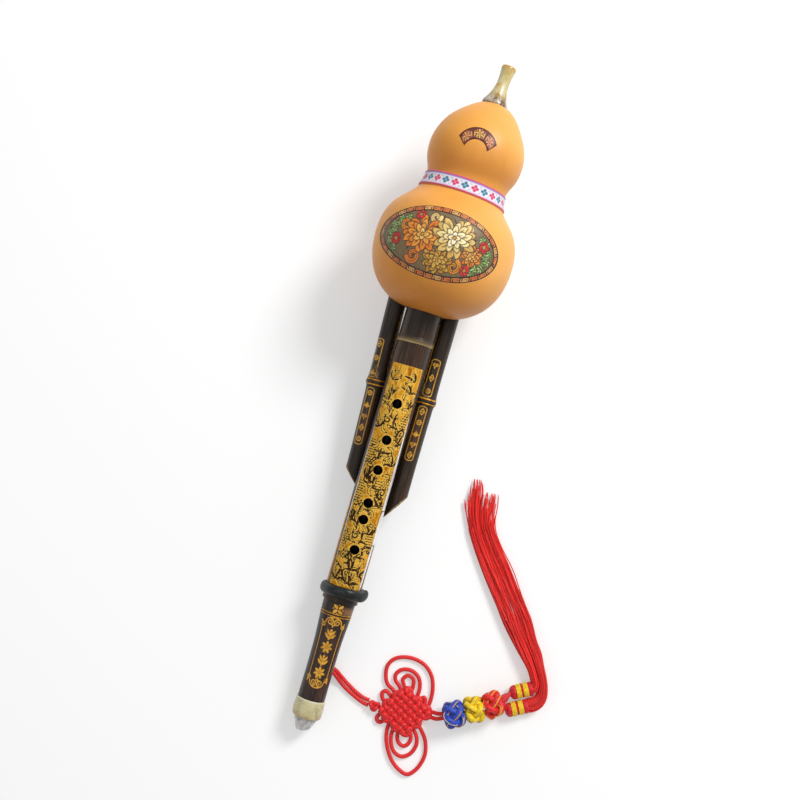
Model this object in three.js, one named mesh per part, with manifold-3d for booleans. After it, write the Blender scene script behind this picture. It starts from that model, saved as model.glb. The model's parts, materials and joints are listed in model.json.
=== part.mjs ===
// A hulusi: a gourd wind chest on a melody pipe and two drone pipes, with a turned horn
// mouthpiece, a tail joint that pulls out, and a red knotted cord with two tassels.
// Millimetres. +Z is up. The instrument lies on its back with the finger holes up, the tail
// towards -Y and the mouthpiece towards +Y, resting on its ferrule and the gourd's belly.
// Stations (s) are distances along the pipe's axis from the tail's end.

import * as THREE from 'three';
import * as BufferGeometryUtils from 'three/addons/utils/BufferGeometryUtils.js';
import Module from 'manifold-3d';

const wasm = await Module();
wasm.setup();

// Clearances
const seatGap = 0.3;
const slideGap = 0.3;

// How far a cut runs past what it cuts
const overcut = 10;

// Tail joint, from its end upwards
const nozzleRadius = 6.4;
const nozzleTipRadius = 4.4;
const nozzleLength = 7;
const nozzleTaper = 5.5;
const nozzleBoreRadius = 2.6;
const nozzleSpigotRadius = 4.1;
const nozzleSpigotLength = 2.4;
const ferruleRadius = 9.6;
const ferruleLength = 12.2;
const ferruleFloor = 2.7;
const ferruleRounding = 1.6;
const tailLength = 63.9;
const tailLowRadius = 8.8;
const tailWaistRadius = 8.65;
const tailMiddleRadius = 8.9;
const tailShoulderRadius = 9.9;
const tailTopRadius = 10.3;
const tailShares = { waist: 0.32, middle: 0.6, shoulder: 0.85 };
const tailBoreRadius = 5;
const tailSpigotRadius = 6.8;
const cordHoleHeight = 19.2;
const cordHoleRadius = 2.75;
const cordHoleDrop = THREE.MathUtils.degToRad(35);
const tenonLength = 18;
const tenonRadius = 6;
const tenonLandRadius = 7;
const tenonLandLength = 2.2;

// Melody pipe
const pipeRadius = 11.5;
const pipeBoreRadius = 7.5;
const pipeLength = 239;
const pipeNodeHeight = 171.6;
const pipeNodeSwell = 0.45;
const pipeNodeWidth = 3.6;
const fingerHoleRadius = 3.05;
const fingerHoleHeights = [34.9, 54.7, 65.5, 87, 106.6, 130.3];
const thumbHoleHeight = 144.5;
const stopperLength = 6.5;
const stopperHeadLength = 2;
const stopperHeadInset = 1;
const stopperHeadTaper = 0.6;

// Collar ring round the socket of the melody pipe
const collarRadius = 15.4;
const collarLength = 6.9;
const collarBulge = 2.6;
const collarHeight = 3.3;
const collarOffset = 1.2;

// Drone pipes
const droneRadius = 6.1;
const droneBoreRadius = 4.2;
const droneInnerLength = 44;
const droneMouthFlare = 0.4;
const droneNodeSwell = 1;
const droneNodeWidth = 2.8;
const droneNodeRounding = 0.4;
const leftDrone = {
  name: 'left_drone', side: -1, x: -18.4, z: -7.5, leanX: 0.04, leanZ: -0.047,
  length: 120, nodeDrop: 51.5, cutLength: 13,
};
const rightDrone = {
  name: 'right_drone', side: 1, x: 16.9, z: -9.8, leanX: 0, leanZ: 0,
  length: 132.5, nodeDrop: 54, cutLength: 17.5,
};

// Reeds
const reedThickness = 0.5;
const mainReed = { width: 8, length: 20, slot: 4.6, tongue: 12, fromTop: 24 };
const droneReed = { width: 4.4, length: 13, slot: 2.4, tongue: 8, fromTop: 17 };
const tongueSlit = 0.5;

// Gourd, from its bottom upwards, and the blocks in its two openings
const gourdWall = 3;
const bellyRadius = 44.9;
const neckRadius = 25.9;
const bulbRadius = 30.6;
const stemRadius = 9;
const gourdHandles = {
  foot: 26, bellyBelow: 30, bellyAbove: 28, neckBelow: 16.5, neckAbove: 8, bulbBelow: 13, bulbAbove: 16,
  stemOut: 7, stemDown: 3,
};
const gourdSubmersion = 50;
const bellyHeight = 43;
const neckHeight = 42.5;
const bulbHeight = 21.5;
const stemHeight = 33;
const bellySway = 0.95;
const bulbSway = 3.7;
const swayBelowNeck = 19.2;
const swayAboveNeck = 11.9;
const stemSway = 2.2;
const swayBelowStem = 16;
const blockDepth = 19;
const blockWall = 2.5;
const sealLength = 2;
const sealThickness = 1.1;
const bushRadius = 7.6;
const bushLength = 14;

// Neck ribbon
const ribbonWidth = 9.6;
const ribbonThickness = 0.8;
const ribbonBelowNeck = 6.8;

// Mouthpiece
const mouthpieceLean = THREE.MathUtils.degToRad(5.5);
const mouthpieceLength = 27;
const mouthpieceFootRadius = 8.5;
const mouthpieceFlareRadius = 6.25;
const mouthpieceThroatRadius = 4.5;
const mouthpieceWaistRadius = 4;
const mouthpieceLipRadius = 4.8;
const mouthpieceRounding = 0.6;
const mouthpieceShares = { flare: 0.22, throat: 0.42, waist: 0.62, lip: 0.9 };
const mouthpieceBoreRadius = 2.6;
const mouthpieceTenonRadius = 4.6;
const mouthpieceTenonLength = 13;
const corkThickness = 0.7;
const corkInset = 1;

// Cord, knot and tassels. These lie on the floor; their points are chosen by hand, from the
// foot of the tail's end: x to the right, y along the floor, z up.
const cordRadius = 1.15;
const cordSides = 8;
const padHalfLength = 16.6;
const padHalfWidth = 14.8;
const padCentre = [59.8, 26.6];
const padTurn = THREE.MathUtils.degToRad(13.5);
const padThickness = 5.4;
const padRounding = 1.5;
const padFullness = 0.55;
const floorGap = 0.15;
const entryKnot = { at: [40.2, 24.7], radii: [4.4, 3.8, 2.8] };
const strandRoutes = [
  [[5.1, 40.4, 10], [7.8, 40.6, 8.1], [10.8, 39.4, 5.2], [13.5, 37.3, 2.7], [16.5, 35.3, 1.5],
    [20.2, 33, 1.3], [26.6, 29.6, 1.3], [32.6, 27.4, 1.3], [36.4, 27, 1.5]],
  [[5.1, 38, 9.7], [7.8, 38.2, 7.9], [10.6, 36.6, 4.9], [13.4, 34.3, 2.5], [16.6, 31.9, 1.4],
    [20.5, 29.6, 1.3], [26.7, 26.7, 1.3], [32.5, 24.5, 1.3], [36.4, 23.8, 1.5]],
];
const upperEarLoops = [
  [[51.5, 34.5], [49.5, 37.2], [44.6, 40.2], [42, 45.4], [41.6, 51.8], [45, 57], [54, 60.1],
    [63.8, 58.6], [70.2, 53.4], [73.2, 46.9], [74.3, 39], [73.6, 33.5], [71.5, 30.5]],
  [[55.2, 37.5], [52, 41.3], [48.9, 43.9], [48.2, 47.6], [50.9, 51.2], [56.9, 52.5],
    [62.6, 49.8], [65.2, 44.6], [65.4, 38.6], [64, 33.5]],
  [[58, 37], [55.3, 42], [53.4, 45.6], [55.8, 48.8], [59.6, 47.8], [61, 43.6], [60.6, 37.5]],
];
const lowerEarLoops = [
  [[54.2, 20], [52.4, 14.5], [54, 5.4], [60.4, -5], [67.4, -9.9], [72.7, -11], [77.6, -6],
    [80.2, 3.4], [78.2, 11.8], [74.3, 17.4], [70, 21.5]],
  [[57.6, 18], [55.9, 11.6], [57.3, 4.9], [60.9, 0.1], [66.1, -1.3], [71.2, 2.3], [73.2, 8.8],
    [71.3, 14.2], [67.5, 18]],
  [[61, 16.5], [59.8, 10.8], [61.5, 6.9], [65.2, 5.3], [68.2, 7.9], [68.4, 12], [66, 16.5]],
];
const sideLoops = [
  [[47.5, 27.5], [43.8, 31], [43, 34.1], [45.2, 35.6], [48.2, 33.9], [50.5, 31]],
  [[49.5, 22.5], [45.4, 20.6], [43.9, 17.6], [45.8, 15.5], [48.3, 16.9], [50.8, 21]],
  [[67, 31.5], [68, 36.9], [70, 38.4], [71.1, 35.6], [69.5, 29.5]],
];
const padLinkRoute = [[73.5, 29.4, 3], [77.5, 29.6, 4.2], [80.8, 30, 7.2], [86, 32, 9.4]];
const tasselLinkRoute = [[116, 49, 9.4], [119.2, 50.8, 8.4], [121.2, 51.8, 6.4], [123.4, 52.9, 4.9]];
const linkRadius = 2.2;
const tasselLinkRadius = 3;
const buttonRadius = 9.2;
const buttonRounding = 5;
const buttonTurn = THREE.MathUtils.degToRad(30);
const buttons = [
  { name: 'blue_button', at: [90.5, 34.3], length: 13.6, colour: 0x2d46aa },
  { name: 'yellow_button', at: [101.8, 40.8], length: 12, colour: 0xf5d20f },
  { name: 'red_button', at: [112.6, 47], length: 12.3, colour: 0xe12d28 },
];
const headTurn = THREE.MathUtils.degToRad(27.8);
const headRadius = 4.4;
const headLength = 13.5;
const headTopRadius = 2.4;
const headShoulder = 1.6;
const headHem = 0.5;
const bandGroove = 0.3;
const bandLength = 2.6;
const bandPlaces = [3.2, 7.8];
const bandThickness = 0.4;
const upperTassel = {
  name: 'upper_tassel',
  at: [122.9, 57.1],
  skirt: [[135.2, 63.6, 3.9, 4.1], [136.1, 66.2, 2.6, 4.2], [134.4, 69.8, 2.2, 4.2],
    [130.6, 75.9, 2.2, 4.2], [125.2, 82.6, 2.7, 4.1], [119.6, 88.9, 3, 3.9],
    [109.1, 101.8, 3.9, 3.4], [98.7, 114.9, 4, 3.2], [88.7, 128.2, 4, 3.1],
    [78.8, 141.5, 3.5, 2.9], [70.5, 155, 3.4, 2.7], [66.6, 165.5, 3.5, 2.3],
    [65, 175, 3, 1.8], [63.5, 183, 1.8, 1.4]],
};
const lowerTassel = {
  name: 'lower_tassel',
  at: [122.8, 45.6],
  skirt: [[135.1, 52.1, 3.9, 4.1], [139.6, 54.9, 3.6, 4.2], [142, 59.2, 3, 4.2],
    [141.9, 64.2, 2.5, 4.2], [139.7, 71, 2.2, 4.2], [136.1, 77.6, 2.3, 4.2],
    [131.9, 84.5, 2.8, 4.1], [126.8, 91.1, 3, 3.9], [117.9, 104.4, 4, 3.4],
    [107.6, 117.4, 4, 3.2], [97.6, 130.7, 3.9, 3.1], [86.6, 143.7, 3.5, 2.9],
    [77.9, 157.5, 3.4, 2.7], [75.6, 168, 3.2, 2.3], [74.8, 177, 2.4, 1.6]],
};

// Fineness of round shapes
const gourdSides = 36;
const gourdSteps = [7, 4, 3, 5];
const pipeSides = 24;
const droneSides = 20;
const clusterSides = 20;
const smallSides = 16;
const holeSides = 14;
const headSides = 14;
const knotSides = 12;
const knotRings = 8;
const skirtSides = 10;
const skirtRings = 2;
const roundingSteps = 3;
const collarSteps = 6;
const tailSteps = 6;
const mouthpieceSteps = 14;
const ribbonSteps = 4;
const padRoundingSteps = 3;
const padSideSteps = 4;
const cordStep = 3 * cordRadius;
const strandStep = 5 * cordRadius;

// Stations worked out from the lengths above
const ferruleEnd = nozzleLength + seatGap;
const ferruleTop = ferruleEnd + ferruleLength;
const tailFoot = ferruleTop + seatGap;
const tailTop = tailFoot + tailLength;
const pipeFoot = tailTop + seatGap;
const pipeTop = pipeFoot + pipeLength;
const collarFoot = pipeFoot + collarHeight;
const collarTop = collarFoot + collarLength;
const gourdFoot = pipeTop - gourdSubmersion;
const bellyStation = gourdFoot + bellyHeight;
const neckStation = bellyStation + neckHeight;
const bulbStation = neckStation + bulbHeight;
const gourdTop = bulbStation + stemHeight;

const finishes = {
  horn: { color: 0xd9c58a, roughness: 0.35, metalness: 0 },
  greyHorn: { color: 0xc4c3bd, roughness: 0.4, metalness: 0 },
  gourd: { color: 0xdf9448, roughness: 0.35, metalness: 0 },
  bamboo: { color: 0x32261f, roughness: 0.3, metalness: 0 },
  wood: { color: 0x7a4a2a, roughness: 0.6, metalness: 0 },
  cork: { color: 0xb98a58, roughness: 0.9, metalness: 0 },
  brass: { color: 0xc9a14a, roughness: 0.35, metalness: 1 },
  rubber: { color: 0x1c211d, roughness: 0.5, metalness: 0 },
  ribbon: { color: 0xf2eef2, roughness: 0.9, metalness: 0 },
  redCord: { color: 0xeb322d, roughness: 0.8, metalness: 0 },
  yellowThread: { color: 0xf7cc1c, roughness: 0.7, metalness: 0 },
};

// Solid geometry helpers

function toSolid(geometry) {
  const bare = new THREE.BufferGeometry();
  bare.setAttribute('position', geometry.getAttribute('position'));
  if (geometry.getIndex()) bare.setIndex(geometry.getIndex());
  const merged = BufferGeometryUtils.mergeVertices(bare, 1e-3);
  const corners = merged.getIndex().array;
  const faces = [];
  for (let i = 0; i < corners.length; i += 3) {
    const [a, b, c] = corners.slice(i, i + 3);
    if (a !== b && b !== c && c !== a) faces.push(a, b, c);
  }
  return new wasm.Manifold(new wasm.Mesh({
    numProp: 3,
    vertProperties: Float32Array.from(merged.getAttribute('position').array),
    triVerts: Uint32Array.from(faces),
  }));
}

function toGeometry(solid) {
  const mesh = solid.getMesh();
  const geometry = new THREE.BufferGeometry();
  geometry.setAttribute('position', new THREE.BufferAttribute(mesh.vertProperties, 3));
  geometry.setIndex(new THREE.BufferAttribute(mesh.triVerts, 1));
  geometry.computeVertexNormals();
  return geometry;
}

// Turns a closed outline of [radius, station] points round the Y axis. A flat of the faceted
// solid, not an edge, faces straight down.
function turned(outline, sides) {
  const area = outline.reduce((sum, [r, y], i) => {
    const [nextR, nextY] = outline[(i + 1) % outline.length];
    return sum + r * nextY - nextR * y;
  }, 0);
  const ring = area > 0 ? outline : [...outline].reverse();
  const points = ring.map(([r, y]) => new THREE.Vector2(r, y));
  points.push(points[0].clone());
  return new THREE.LatheGeometry(points, sides, Math.PI / sides);
}

function turnedSolid(outline, sides) {
  return toSolid(turned(outline, sides));
}

// A solid pin on the Y axis between two stations.
function pin(radius, low, high, sides) {
  return turnedSolid([[0, low], [radius, low], [radius, high], [0, high]], sides);
}

function sleeve(inner, outer, low, high, sides) {
  return turnedSolid([[inner, low], [outer, low], [outer, high], [inner, high]], sides);
}

function tubeOutline(outer, boreRadius) {
  const low = outer[0][1];
  const high = outer[outer.length - 1][1];
  return [[boreRadius, low], ...outer, [boreRadius, high]];
}

// A round pin from the point `from` along `direction`, used to drill holes.
function drill(radius, from, direction, length) {
  const geometry = new THREE.CylinderGeometry(radius, radius, length, holeSides);
  const heading = new THREE.Vector3(...direction).normalize();
  const middle = new THREE.Vector3(...from).addScaledVector(heading, length / 2);
  geometry.applyQuaternion(new THREE.Quaternion().setFromUnitVectors(new THREE.Vector3(0, 1, 0), heading));
  geometry.translate(middle.x, middle.y, middle.z);
  return toSolid(geometry);
}

function block(width, depth, height, centre) {
  const geometry = new THREE.BoxGeometry(width, depth, height);
  geometry.translate(...centre);
  return toSolid(geometry);
}

function arc(centreR, centreY, radius, fromAngle, toAngle, steps) {
  return Array.from({ length: steps + 1 }, (_, i) => {
    const angle = fromAngle + (toAngle - fromAngle) * i / steps;
    return [centreR + radius * Math.cos(angle), centreY + radius * Math.sin(angle)];
  });
}

function smooth(points, steps) {
  const curve = new THREE.SplineCurve(points.map(([r, y]) => new THREE.Vector2(r, y)));
  return curve.getPoints(steps).map((p) => [p.x, p.y]);
}

// A tube of round section along a smooth curve through 3-D points.
function cordTube(points, radius, spacing) {
  const curve = new THREE.CatmullRomCurve3(points.map((p) => new THREE.Vector3(...p)), false, 'centripetal');
  const section = new THREE.Shape();
  for (let i = 0; i < cordSides; i += 1) {
    const angle = 2 * Math.PI * (i + 0.5) / cordSides;
    const at = [radius * Math.cos(angle), radius * Math.sin(angle)];
    if (i === 0) section.moveTo(...at);
    else section.lineTo(...at);
  }
  section.closePath();
  const steps = Math.max(4, Math.round(curve.getLength() / spacing));
  return toSolid(new THREE.ExtrudeGeometry(section, { steps, bevelEnabled: false, extrudePath: curve }));
}

// The melody pipe's stack

function makeNozzle() {
  const outline = tubeOutline([
    [nozzleTipRadius, 0],
    [nozzleRadius, nozzleTaper],
    [nozzleRadius, nozzleLength],
    [nozzleSpigotRadius, nozzleLength],
    [nozzleSpigotRadius, nozzleLength + nozzleSpigotLength],
  ], nozzleBoreRadius);
  return turnedSolid(outline, smallSides);
}

function ferruleOuterOutline() {
  const inset = ferruleRadius - ferruleRounding;
  const edge = arc(inset, ferruleEnd + ferruleRounding, ferruleRounding, -Math.PI / 2, 0, roundingSteps);
  return [...edge, [ferruleRadius, ferruleEnd + ferruleLength / 2], [ferruleRadius - seatGap, ferruleTop]];
}

function makeFerrule() {
  const socket = tailSpigotRadius + seatGap;
  const floorTop = ferruleEnd + ferruleFloor;
  return turnedSolid([
    [nozzleSpigotRadius + seatGap, ferruleEnd],
    ...ferruleOuterOutline(),
    [socket, ferruleTop],
    [socket, floorTop],
    [nozzleSpigotRadius + seatGap, floorTop],
  ], pipeSides);
}

function makeTailJoint() {
  const spigotFoot = ferruleEnd + ferruleFloor + seatGap;
  const landTop = tailTop + tenonLength;
  const outer = smooth([
    [tailLowRadius, tailFoot],
    [tailWaistRadius, tailFoot + tailLength * tailShares.waist],
    [tailMiddleRadius, tailFoot + tailLength * tailShares.middle],
    [tailShoulderRadius, tailFoot + tailLength * tailShares.shoulder],
    [tailTopRadius, tailTop],
  ], tailSteps);
  const body = turnedSolid(tubeOutline([
    [tailSpigotRadius, spigotFoot],
    [tailSpigotRadius, tailFoot],
    ...outer,
    [tenonRadius, tailTop],
    [tenonRadius, landTop - tenonLandLength],
    [tenonLandRadius, landTop - tenonLandLength],
    [tenonLandRadius, landTop],
  ], tailBoreRadius), pipeSides);
  const across = [Math.cos(cordHoleDrop), 0, -Math.sin(cordHoleDrop)];
  return body.subtract(drill(cordHoleRadius, [0, tailFoot + cordHoleHeight, 0], across, 2 * tailTopRadius));
}

function makeTenonWrap() {
  const low = tailTop + seatGap;
  const high = tailTop + tenonLength - tenonLandLength - seatGap;
  const inner = tenonRadius + seatGap;
  const outer = pipeBoreRadius - slideGap;
  return sleeve(inner, outer, low, high, pipeSides);
}

function makeMainPipe() {
  const node = pipeFoot + pipeNodeHeight;
  const outer = [
    [pipeRadius, pipeFoot],
    [pipeRadius, node - pipeNodeWidth / 2],
    [pipeRadius + pipeNodeSwell, node - pipeNodeWidth / 4],
    [pipeRadius + pipeNodeSwell, node + pipeNodeWidth / 4],
    [pipeRadius, node + pipeNodeWidth / 2],
    [pipeRadius, pipeTop],
  ];
  let pipe = turnedSolid(tubeOutline(outer, pipeBoreRadius), pipeSides);
  for (const height of fingerHoleHeights) {
    pipe = pipe.subtract(drill(fingerHoleRadius, [0, pipeFoot + height, 0], [0, 0, 1], 2 * pipeRadius));
  }
  const thumbHole = drill(fingerHoleRadius, [0, pipeFoot + thumbHoleHeight, 0], [0, 0, -1], 2 * pipeRadius);
  return cutReedSeat(pipe.subtract(thumbHole), mainReed, pipeRadius, pipeTop);
}

// Mills a flat on the front of a pipe, with a window that the reed covers.
function cutReedSeat(pipe, reed, radius, top) {
  const middle = top - reed.fromTop + reed.length / 2;
  const flat = reedSeatHeight(reed, radius);
  const margin = 2 * seatGap;
  const seat = block(2 * radius, reed.length + margin, radius, [0, middle, flat + radius / 2]);
  const window = block(reed.slot, reed.tongue, 2 * radius, [0, middle, radius]);
  return pipe.subtract(seat).subtract(window);
}

function reedSeatHeight(reed, radius) {
  const halfWidth = reed.width / 2;
  return Math.sqrt(radius * radius - halfWidth * halfWidth) - reedThickness - 2 * seatGap;
}

// A brass plate with a pointed tongue, cut free by a narrow V-shaped slit.
function makeReed(reed, radius, top) {
  const half = reed.width / 2;
  const low = -reed.length / 2;
  const plate = new THREE.Shape();
  plate.moveTo(-half, low);
  plate.lineTo(half, low);
  plate.lineTo(half, -low);
  plate.lineTo(-half, -low);
  plate.closePath();
  const tip = reed.tongue / 2;
  const root = reed.slot / 2 - tongueSlit;
  const slit = new THREE.Path();
  slit.moveTo(-root, -tip);
  slit.lineTo(0, tip - tongueSlit);
  slit.lineTo(root, -tip);
  slit.lineTo(root + tongueSlit, -tip);
  slit.lineTo(tongueSlit / 2, tip);
  slit.lineTo(-tongueSlit / 2, tip);
  slit.lineTo(-root - tongueSlit, -tip);
  slit.closePath();
  plate.holes.push(slit);
  const geometry = new THREE.ExtrudeGeometry(plate, { depth: reedThickness, bevelEnabled: false });
  geometry.translate(0, top - reed.fromTop + reed.length / 2, reedSeatHeight(reed, radius) + seatGap);
  return toSolid(geometry);
}

function makeStopper(radius, boreRadius, top) {
  const plug = boreRadius - seatGap;
  const headFoot = top + seatGap;
  return turnedSolid([
    [0, top - stopperLength],
    [plug, top - stopperLength],
    [plug, headFoot],
    [radius - stopperHeadInset, headFoot],
    [radius - stopperHeadInset - stopperHeadTaper, headFoot + stopperHeadLength],
    [0, headFoot + stopperHeadLength],
  ], smallSides);
}

function makeCollar() {
  const halfLength = collarLength / 2;
  const middle = collarFoot + halfLength;
  const shoulder = collarRadius - collarBulge;
  const bulge = arc(0, 0, 1, -Math.PI / 2, Math.PI / 2, collarSteps)
    .map(([out, along]) => [shoulder + out * collarBulge, middle + along * halfLength]);
  const ring = turned([[0, collarFoot], ...bulge, [0, collarTop]], pipeSides);
  ring.translate(collarOffset, 0, 0);
  const bore = pin(pipeRadius + seatGap, collarFoot - overcut, collarTop + overcut, pipeSides);
  return toSolid(ring).subtract(bore);
}

// Drones. Their own frame has its origin on the axis at the gourd's foot, +Y inwards.

function makeDrone(drone) {
  const node = -drone.nodeDrop;
  const swollen = droneRadius + droneNodeSwell;
  const outer = [
    [droneRadius + droneMouthFlare, -drone.length],
    [droneRadius, -drone.length + 2 * drone.cutLength],
    [droneRadius, node - 2 * droneNodeWidth],
    [droneRadius + droneNodeSwell / 2, node - droneNodeWidth / 2],
    [swollen, node - droneNodeWidth / 2 + droneNodeRounding],
    [swollen, node + droneNodeWidth / 2 - droneNodeRounding],
    [droneRadius + droneNodeSwell / 2, node + droneNodeWidth / 2],
    [droneRadius, node + 3 * droneNodeWidth],
    [droneRadius, droneInnerLength],
  ];
  const pipe = turnedSolid(tubeOutline(outer, droneBoreRadius), droneSides);
  const cut = pipe.subtract(obliqueWedge(drone));
  return cutReedSeat(cut, droneReed, droneRadius, droneInnerLength);
}

// The waste below the slanted cut at a drone's open end. The cut rises by its length across the
// pipe's width, so over a reach twice as wide it starts half a rise lower and ends half a rise
// higher.
function obliqueWedge(drone) {
  const reach = 2 * droneRadius;
  const rise = drone.cutLength;
  const low = -drone.length;
  const outline = new THREE.Shape();
  outline.moveTo(-drone.side * reach, low - rise / 2);
  outline.lineTo(drone.side * reach, low + rise + rise / 2);
  outline.lineTo(drone.side * reach, low - 2 * rise);
  outline.lineTo(-drone.side * reach, low - 2 * rise);
  outline.closePath();
  const geometry = new THREE.ExtrudeGeometry(outline, { depth: 4 * droneRadius, bevelEnabled: false });
  geometry.translate(0, 0, -2 * droneRadius);
  return toSolid(geometry);
}

function droneHeading(drone) {
  return new THREE.Vector3(-drone.leanX, 1, -drone.leanZ).normalize();
}

function droneFrame(drone) {
  const frame = new THREE.Group();
  frame.position.set(drone.x, gourdFoot, drone.z);
  frame.quaternion.setFromUnitVectors(new THREE.Vector3(0, 1, 0), droneHeading(drone));
  return frame;
}

function makeDroneSeal() {
  const low = blockDepth + 4 * seatGap;
  const inner = droneRadius + slideGap;
  return sleeve(inner, inner + sealThickness, low, low + sealLength, droneSides);
}

// Gourd

function gourdOutline() {
  const point = (r, y) => new THREE.Vector2(r, y);
  const foot = point(0, gourdFoot);
  const belly = point(bellyRadius, bellyStation);
  const neck = point(neckRadius, neckStation);
  const bulb = point(bulbRadius, bulbStation);
  const stem = point(stemRadius, gourdTop);
  const handles = gourdHandles;
  const pieces = [
    [foot, point(handles.foot, gourdFoot), point(bellyRadius, bellyStation - handles.bellyBelow), belly],
    [belly, point(bellyRadius, bellyStation + handles.bellyAbove),
      point(neckRadius, neckStation - handles.neckBelow), neck],
    [neck, point(neckRadius, neckStation + handles.neckAbove),
      point(bulbRadius, bulbStation - handles.bulbBelow), bulb],
    [bulb, point(bulbRadius, bulbStation + handles.bulbAbove),
      point(stemRadius + handles.stemOut, gourdTop - handles.stemDown), stem],
  ];
  const outline = [foot];
  pieces.forEach((corners, i) => {
    outline.push(...new THREE.CubicBezierCurve(...corners).getPoints(gourdSteps[i]).slice(1));
  });
  return outline;
}

function offsetInward(outline, distance) {
  return outline.map((p, i) => {
    const before = outline[Math.max(0, i - 1)];
    const after = outline[Math.min(outline.length - 1, i + 1)];
    const along = new THREE.Vector2().subVectors(after, before).normalize();
    return [Math.max(0, p.x - along.y * distance), p.y + along.x * distance];
  });
}

// How far the gourd's centre line sways to the right at a station: once through the neck, and a
// little more below the stem.
function sway(station) {
  const foot = neckStation - swayBelowNeck;
  const share = THREE.MathUtils.smoothstep(station, foot, neckStation + swayAboveNeck);
  const stemShare = THREE.MathUtils.smoothstep(station, gourdTop - swayBelowStem, gourdTop);
  return bellySway + (bulbSway - bellySway) * share + stemSway * stemShare;
}

function swayed(geometry) {
  const position = geometry.getAttribute('position');
  for (let i = 0; i < position.count; i += 1) {
    position.setX(i, position.getX(i) + sway(position.getY(i)));
  }
  return geometry;
}

function gourdSkin(outline) {
  const closed = outline.map((p) => [p.x, p.y]);
  closed.push([0, gourdTop]);
  return toSolid(swayed(turned(closed, gourdSides)));
}

function gourdCavity(outline) {
  const inner = offsetInward(outline, gourdWall);
  const ceiling = gourdTop - 2 * gourdWall;
  const kept = inner.filter(([, y], i) => y < ceiling && i % 2 === 0);
  return toSolid(swayed(turned([...kept, [bushRadius, ceiling], [0, ceiling]], gourdSides)));
}

// The outline that wraps round circles of [x, z, radius], grown by a clearance.
function wrapOutline(circles, grow) {
  const points = [];
  for (const [x, z, radius] of circles) {
    for (let i = 0; i < clusterSides; i += 1) {
      const angle = 2 * Math.PI * i / clusterSides;
      points.push([x + (radius + grow) * Math.cos(angle), z + (radius + grow) * Math.sin(angle)]);
    }
  }
  points.sort((a, b) => a[0] - b[0] || a[1] - b[1]);
  const turn = (o, a, b) => (a[0] - o[0]) * (b[1] - o[1]) - (a[1] - o[1]) * (b[0] - o[0]);
  const half = (list) => {
    const chain = [];
    for (const p of list) {
      while (chain.length > 1 && turn(chain.at(-2), chain.at(-1), p) <= 1e-6) chain.pop();
      chain.push(p);
    }
    return chain.slice(0, -1);
  };
  return [...half(points), ...half([...points].reverse())];
}

function pipeCluster() {
  return [
    [0, 0, pipeRadius + seatGap + blockWall],
    [leftDrone.x, leftDrone.z, droneRadius + slideGap + blockWall],
    [rightDrone.x, rightDrone.z, droneRadius + slideGap + blockWall],
  ];
}

function clusterPrism(grow, low, high) {
  const outline = wrapOutline(pipeCluster(), grow);
  const shape = new THREE.Shape(outline.map(([x, z]) => new THREE.Vector2(x, -z)));
  const geometry = new THREE.ExtrudeGeometry(shape, { depth: high - low, bevelEnabled: false });
  geometry.rotateX(-Math.PI / 2);
  geometry.translate(0, low, 0);
  return toSolid(geometry);
}

function stemFrame() {
  const frame = new THREE.Group();
  frame.position.set(sway(gourdTop), gourdTop, 0);
  frame.rotation.z = -mouthpieceLean;
  return frame;
}

// Everything above the slanted rim that the mouthpiece stands on.
function rimWaste() {
  const height = 4 * stemRadius;
  const geometry = new THREE.BoxGeometry(height, height, height);
  geometry.translate(0, height / 2, 0);
  const frame = stemFrame();
  frame.updateMatrix();
  return toSolid(geometry.applyMatrix4(frame.matrix));
}

function makeGourd() {
  const outline = gourdOutline();
  const down = [-Math.sin(mouthpieceLean), -Math.cos(mouthpieceLean), 0];
  const above = [sway(gourdTop) - overcut * down[0], gourdTop - overcut * down[1], 0];
  return gourdSkin(outline)
    .subtract(gourdCavity(outline))
    .subtract(clusterPrism(seatGap, gourdFoot - overcut, gourdFoot + blockDepth + overcut))
    .subtract(rimWaste())
    .subtract(drill(bushRadius + seatGap, above, down, bushLength + 2 * overcut));
}

function makePipeBlock() {
  const blockTop = gourdFoot + blockDepth;
  const inset = gourdOutline().map((p) => new THREE.Vector2(p.x, p.y + seatGap));
  const blank = clusterPrism(0, gourdFoot - overcut, blockTop).intersect(gourdSkin(inset));
  let bored = blank.subtract(pin(pipeRadius + seatGap, gourdFoot - overcut, blockTop + overcut, pipeSides));
  for (const drone of [leftDrone, rightDrone]) {
    const radius = droneRadius + slideGap;
    const low = -2 * overcut;
    const high = blockDepth + 2 * overcut;
    const bore = turned([[0, low], [radius, low], [radius, high], [0, high]], droneSides);
    const frame = droneFrame(drone);
    frame.updateMatrix();
    bored = bored.subtract(toSolid(bore.applyMatrix4(frame.matrix)));
  }
  return bored;
}

function gourdRadiusAt(station) {
  const outline = gourdOutline();
  const above = outline.findIndex((p) => p.y > station && p.x > 0);
  const [low, high] = [outline[above - 1], outline[above]];
  return low.x + (high.x - low.x) * (station - low.y) / (high.y - low.y);
}

function makeRibbon() {
  const low = neckStation - ribbonBelowNeck;
  const stations = Array.from({ length: ribbonSteps + 1 }, (_, i) => low + ribbonWidth * i / ribbonSteps);
  const inner = stations.map((y) => [gourdRadiusAt(y) + seatGap, y]);
  const outer = inner.map(([r, y]) => [r + ribbonThickness, y]);
  return toSolid(swayed(turned([...outer, ...inner.reverse()], gourdSides)));
}

function makeStemBush() {
  const inner = mouthpieceTenonRadius + corkThickness + 2 * seatGap;
  return sleeve(inner, bushRadius, -bushLength, 0, smallSides);
}

// Mouthpiece, in the frame of the gourd's stem: +Y out of the gourd.

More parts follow.
